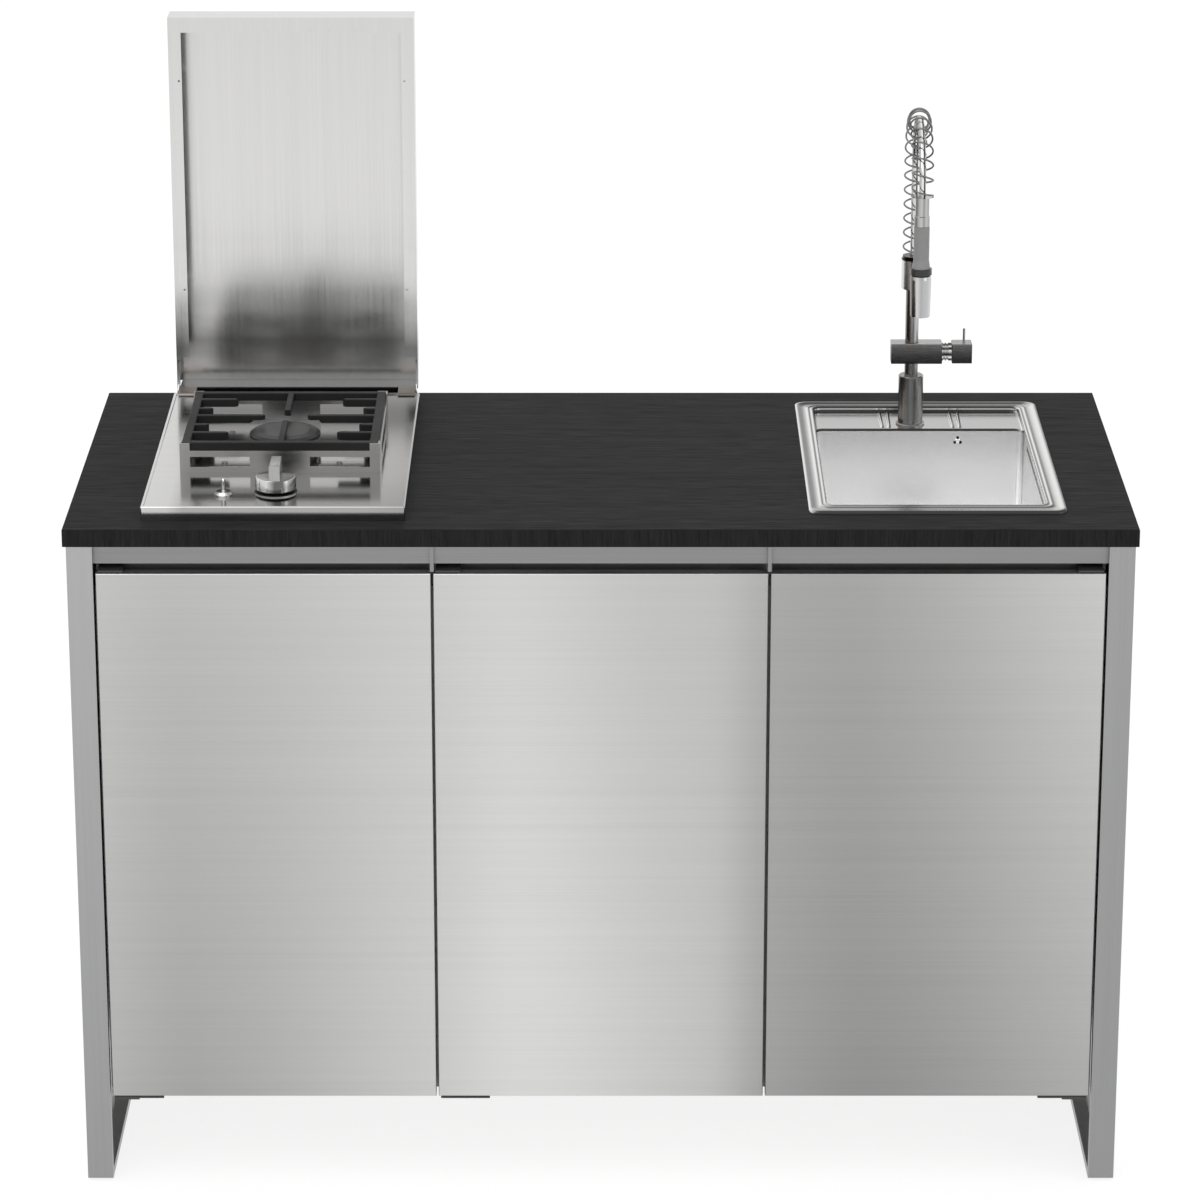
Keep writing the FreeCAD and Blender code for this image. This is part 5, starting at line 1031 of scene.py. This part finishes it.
class KITCHENETTE_OT_tap(bpy.types.Operator):
    """Finishes the tap's base, mixer, column and spray head"""
    bl_idname = "kitchenette.tap"
    bl_label = "Tap"

    @staticmethod
    def holder_tone(cap):
        """Painted reflection bands round the spring holder under its black cap."""
        def build(tree):
            side = painted_reflection_bands(((0.0, 0.75), (0.14, 0.55), (0.26, (0.23, 0.20, 0.175)),
                          (0.5, (0.22, 0.19, 0.165)), (0.64, 0.42), (0.8, 0.6), (1.0, 0.72)))(tree)
            return vector_math(tree, "MULTIPLY", side,
                               scaled_colour(tree, cap(tree), side, 2.0, 2.0))
        return build

    def execute(self, context):
        # painted reflections: light and dark bands round the riser, base, bell, collars and neck
        brown = (0.19, 0.155, 0.125)
        riser = painted_reflection_bands(((0.0, (0.3, 0.27, 0.24)), (0.12, brown), (0.3, (0.17, 0.145, 0.12)),
                       (0.4, 0.27), (0.6, 0.25), (0.68, 0.42), (0.85, 0.5), (1.0, 0.42)))
        base = painted_reflection_bands(((0.0, 0.14), (0.08, (0.26, 0.225, 0.19)), (0.3, 0.26), (0.5, 0.2),
                      (0.62, 0.18), (0.74, 0.3), (0.86, 0.42), (0.93, 0.26), (1.0, 0.18)))
        low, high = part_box("spring_holder")
        cap = gradient((0, 0, low.z), (0, 0, high.z), (
            (0.0, 0.5), (0.86, 0.5), (0.9, 0.01), (1.0, 0.01)))
        bell = painted_reflection_bands(((0.0, 0.12), (0.1, (0.26, 0.235, 0.21)), (0.2, 0.46), (0.3, 0.62),
                      (0.42, 0.5), (0.5, 0.40), (0.62, (0.45, 0.47, 0.475)), (0.8, 0.5),
                      (0.94, 0.62), (1.0, 0.4)))
        collars = painted_reflection_bands(((0.0, 0.3), (0.1, 0.16), (0.25, 0.42), (0.45, 0.55), (0.6, 0.3),
                         (0.75, 0.55), (1.0, 0.3)))
        neck = painted_reflection_bands(((0.1, 0.03), (0.24, 0.75), (0.34, 0.7), (0.42, 0.01), (0.5, 0.08),
                      (0.58, 0.35), (0.68, 0.75), (0.76, 0.01), (0.82, 0.02), (0.89, 0.7),
                      (0.96, 0.02)), (0.0, 0.0, 1.0))
        low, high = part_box("mixer_body")
        # painted shade: the mixer dark at its foot and lighter towards its top
        mixer_painted_shade = gradient((0, 0, low.z), (0, 0, high.z), (
            (0.0, 0.03), (0.3, 0.055), (0.75, 0.13), (0.96, 0.2), (0.99, 0.34), (1.0, 0.34)))
        black = speckled("Ring lacquer", (0.010,) * 3, (0.016,) * 3, 0.3, coat=0.2)
        grip = speckled("Grip plastic", (0.22, 0.22, 0.22), (0.27, 0.27, 0.272), 0.5)
        upright = (400.0, 400.0, 12.0)
        finish_nodes(
            tap_base=brushed("Tap base steel", base, upright, 0.2, play=0.05),
            tap_riser=brushed("Tap riser steel", riser, upright, 0.2, play=0.04),
            spring_holder=brushed("Spring holder steel", self.holder_tone(cap), upright, 0.2,
                                  play=0.04),
            spray_bell=brushed("Bell chrome", bell, (400.0, 400.0, 9.0), 0.14, play=0.03))
        for name, tone in (("mixer_neck", neck), ("hose_collars", collars),
                           ("lever_pin", even((0.4, 0.4, 0.4)))):
            finish_node(name, polished(name.replace("_", " ").capitalize() + " chrome", tone, 0.07))
        lacquer = brushed("Mixer satin", mixer_painted_shade, (12.0, 500.0, 500.0), 0.26, play=0.05)
        finish_nodes(mixer_body=lacquer, mixer_handle=lacquer, docking_arm=black, spray_grip=grip)
        return {"FINISHED"}


class KITCHENETTE_OT_spring_and_hose(bpy.types.Operator):
    """Makes the spring neck and the hose inside it"""
    bl_idname = "kitchenette.spring_and_hose"
    bl_label = "Spring and hose"

    # painted reflection bands round the hose
    HOSE_PAINTED_REFLECTION = ((0.0, 0.4), (0.3, 0.6), (0.45, 0.85), (0.6, 0.9), (0.68, 0.02), (0.8, 0.03),
                  (0.86, 0.5), (1.0, 0.6))
    STEPS_PER_TURN = 28
    SEAT_GAP = 0.0002                           # between the spring's end and the collar
    HOSE_RIBS, HOSE_SIDES, GROOVE = 260, 20, 0.0005
    SUNK = 0.001                                # the hose's end in the collar

    def execute(self, context):
        tap = context.scene.kitchenette_tap
        hose_low, hose_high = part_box("hose")
        spring_low, spring_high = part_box("spring")
        x = middle("spray_bell").x
        rear, front = middle("tap_riser").y, middle("spray_bell").y
        reach = (rear - front) / 2
        coil = (spring_high.x - spring_low.x) / 2 - tap.spring_wire
        arch = hose_high.z - tap.hose_radius - reach
        foot = spring_low.z + tap.spring_wire
        collar_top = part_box("hose_collars")[1].z
        end = collar_top + tap.spring_wire + self.SEAT_GAP
        up, over, down = arch - foot, math.pi * reach, arch - end

        def centre_line(s):
            """Place and direction of the neck's middle line at a length from the spring's foot."""
            if s <= up:
                return Vector((x, rear, foot + s)), Vector((0, 0, 1))
            if s <= up + over:
                turn = (s - up) / reach
                place = Vector((x, rear - reach + reach * math.cos(turn),
                                arch + reach * math.sin(turn)))
                return place, Vector((0, -math.sin(turn), math.cos(turn)))
            return Vector((x, front, arch - (s - up - over))), Vector((0, 0, -1))

        whole = up + over + down
        steps = tap.spring_turns * self.STEPS_PER_TURN
        across = Vector((1, 0, 0))
        coil_points = []
        for i in range(steps + 1):
            place, direction = centre_line(whole * i / steps)
            outward = direction.cross(across)
            turn = math.tau * tap.spring_turns * i / steps
            coil_points.append(place + (across * math.cos(turn) - outward * math.sin(turn)) * coil)
        wire = polished("Spring chrome", even((0.20, 0.20, 0.20)), 0.16)
        new_piece("tap_spring", round_wire("tap_spring", coil_points, tap.spring_wire),
                  "tap_column", "spring", wire)

        hose_steel = polished("Hose chrome", painted_reflection_bands(self.HOSE_PAINTED_REFLECTION), 0.12)
        low = hose_low.z
        leg_up, leg_down = arch - low, arch - (collar_top - self.SUNK)
        length = leg_up + over + leg_down

        def build(bm):
            rings = []
            for i in range(self.HOSE_RIBS + 1):
                place, direction = centre_line(length * i / self.HOSE_RIBS - (foot - low))
                side = direction.cross(across)
                radius = tap.hose_radius - (self.GROOVE if i % 2 else 0.0)
                rings.append([bm.verts.new(place + (across * math.cos(a) + side * math.sin(a)) * radius)
                              for a in (math.tau * k / self.HOSE_SIDES
                                        for k in range(self.HOSE_SIDES))])
            for one, other in zip(rings, rings[1:]):
                bridge(bm, one, other)
            bm.faces.new(rings[0])
            bm.faces.new(rings[-1])

        new_piece("tap_hose", mesh_from("tap_hose", build, 60.0), "tap_column", "hose", hose_steel)
        return {"FINISHED"}


class KITCHENETTE_OT_stage(bpy.types.Operator):
    """Sets the floor, the soft light and the camera"""
    bl_idname = "kitchenette.stage"
    bl_label = "Stage"

    # camera: place in metres, downward tilt, focal length on a 36 mm square frame
    CAMERA_PLACE = (-0.001, -6.3739, 2.8360)
    CAMERA_TILT = 18.313
    CAMERA_LENS = 146.62
    SENSOR = 36.0
    SHADOW_SHARE = 0.22     # how much of its own shading the floor shows
    FLOOR_REACH = 30.0
    # softboxes: name, place, size and share of the lamp power
    SOFTBOXES = (("Softbox above", (-1.2, -1.6, 3.6), 2.6, 1.0),
                 ("Softbox right", (3.0, -2.2, 2.2), 1.8, 0.3))
    LAMP_AIM = (0.0, 0.0, 0.7)

    @staticmethod
    def seen_rays(tree):
        """1 for the rays that show a surface: to the camera, in a mirror or through glass."""
        path = tree.nodes.new("ShaderNodeLightPath")
        seen = math_node(tree, "MAXIMUM", path.outputs["Is Camera Ray"],
                         path.outputs["Is Glossy Ray"])
        return math_node(tree, "MAXIMUM", seen, path.outputs["Is Transmission Ray"])

    def execute(self, context):
        scene = context.scene
        stage = scene.kitchenette_stage
        scene.view_settings.view_transform = "Standard"
        camera = bpy.data.cameras.new("Camera")
        camera.lens = self.CAMERA_LENS
        camera.sensor_width = self.SENSOR
        camera.clip_end = 60.0
        eye = bpy.data.objects.new("Camera", camera)
        eye.location = self.CAMERA_PLACE
        eye.rotation_euler = (math.radians(90.0 - self.CAMERA_TILT), 0.0, 0.0)
        scene.collection.objects.link(eye)
        scene.camera = eye

        material, tree, shader = new_material("Floor paint", Roughness=0.9, Specular_IOR_Level=0.1)
        speckle = use_group(tree, speckle_group, Grains_per_metre=200.0, Broad_patches=0.6)
        paint = blend_colours(tree, speckle.outputs["Patch"],
                              [part * 0.995 for part in stage.floor_tint], stage.floor_tint)
        seen = self.seen_rays(tree)
        tree.links.new(scaled_colour(tree, paint, seen, 1.0, self.SHADOW_SHARE),
                       shader.inputs["Base Color"])
        shader.inputs["Emission Color"].default_value = (1.0, 1.0, 1.0, 1.0)
        tree.links.new(span_value(tree, seen, 0.0, stage.floor_glow),
                       shader.inputs["Emission Strength"])

        def build(bm):
            bmesh.ops.create_grid(bm, x_segments=8, y_segments=8, size=self.FLOOR_REACH)

        floor = bpy.data.objects.new("floor", mesh_from("floor", build))
        floor.data.materials.append(material)
        floor.location.z = CAD_BOX[0].z
        scene.collection.objects.link(floor)

        world = bpy.data.worlds.new("Room")
        scene.world = world
        world.use_nodes = True
        nodes, links = world.node_tree.nodes, world.node_tree.links
        back = nodes["Background"]
        back.inputs["Color"].default_value = (1.0, 1.0, 1.0, 1.0)
        strength = span_value(world.node_tree, self.seen_rays(world.node_tree),
                              stage.world_level, 1.0)
        links.new(strength, back.inputs["Strength"])

        for name, place, size, share in self.SOFTBOXES:
            lamp = bpy.data.lights.new(name, "AREA")
            lamp.shape = "SQUARE"
            lamp.size = size
            lamp.energy = stage.lamp_power * share
            holder = bpy.data.objects.new(name, lamp)
            holder.location = place
            aim = Vector(self.LAMP_AIM) - Vector(place)
            holder.rotation_euler = aim.to_track_quat("-Z", "Y").to_euler()
            scene.collection.objects.link(holder)
        return {"FINISHED"}


PIECE_OPERATORS = (
    KITCHENETTE_OT_stage, KITCHENETTE_OT_side_frames, KITCHENETTE_OT_worktop,
    KITCHENETTE_OT_carcass, KITCHENETTE_OT_doors, KITCHENETTE_OT_rails, KITCHENETTE_OT_hob,
    KITCHENETTE_OT_burner, KITCHENETTE_OT_grate, KITCHENETTE_OT_controls, KITCHENETTE_OT_lid,
    KITCHENETTE_OT_sink, KITCHENETTE_OT_tap, KITCHENETTE_OT_spring_and_hose)


class KITCHENETTE_PT_panel(bpy.types.Panel):
    """Lists the settings and the pieces of the kitchenette"""
    bl_idname = "KITCHENETTE_PT_panel"
    bl_label = "Kitchenette"
    bl_space_type = "VIEW_3D"
    bl_region_type = "UI"
    bl_category = "Kitchenette"

    def draw(self, context):
        for name, group in SETTING_GROUPS:
            for label in group.__annotations__:
                self.layout.prop(getattr(context.scene, name), label)
        for operator in PIECE_OPERATORS:
            self.layout.operator(operator.bl_idname)


SETTING_GROUPS = (("kitchenette_steel", SteelSettings), ("kitchenette_worktop", WorktopSettings),
                  ("kitchenette_tap", TapSettings), ("kitchenette_stage", StageSettings))


def register():
    for name, group in SETTING_GROUPS:
        bpy.utils.register_class(group)
        setattr(bpy.types.Scene, name, PointerProperty(type=group))
    for operator in PIECE_OPERATORS:
        bpy.utils.register_class(operator)
    bpy.utils.register_class(KITCHENETTE_PT_panel)


def unregister():
    bpy.utils.unregister_class(KITCHENETTE_PT_panel)
    for operator in reversed(PIECE_OPERATORS):
        bpy.utils.unregister_class(operator)
    for name, group in reversed(SETTING_GROUPS):
        delattr(bpy.types.Scene, name)
        bpy.utils.unregister_class(group)


def main():
    register()
    for operator in PIECE_OPERATORS:
        group, name = operator.bl_idname.split(".")
        getattr(getattr(bpy.ops, group), name)()


if __name__ == "__main__":
    main()
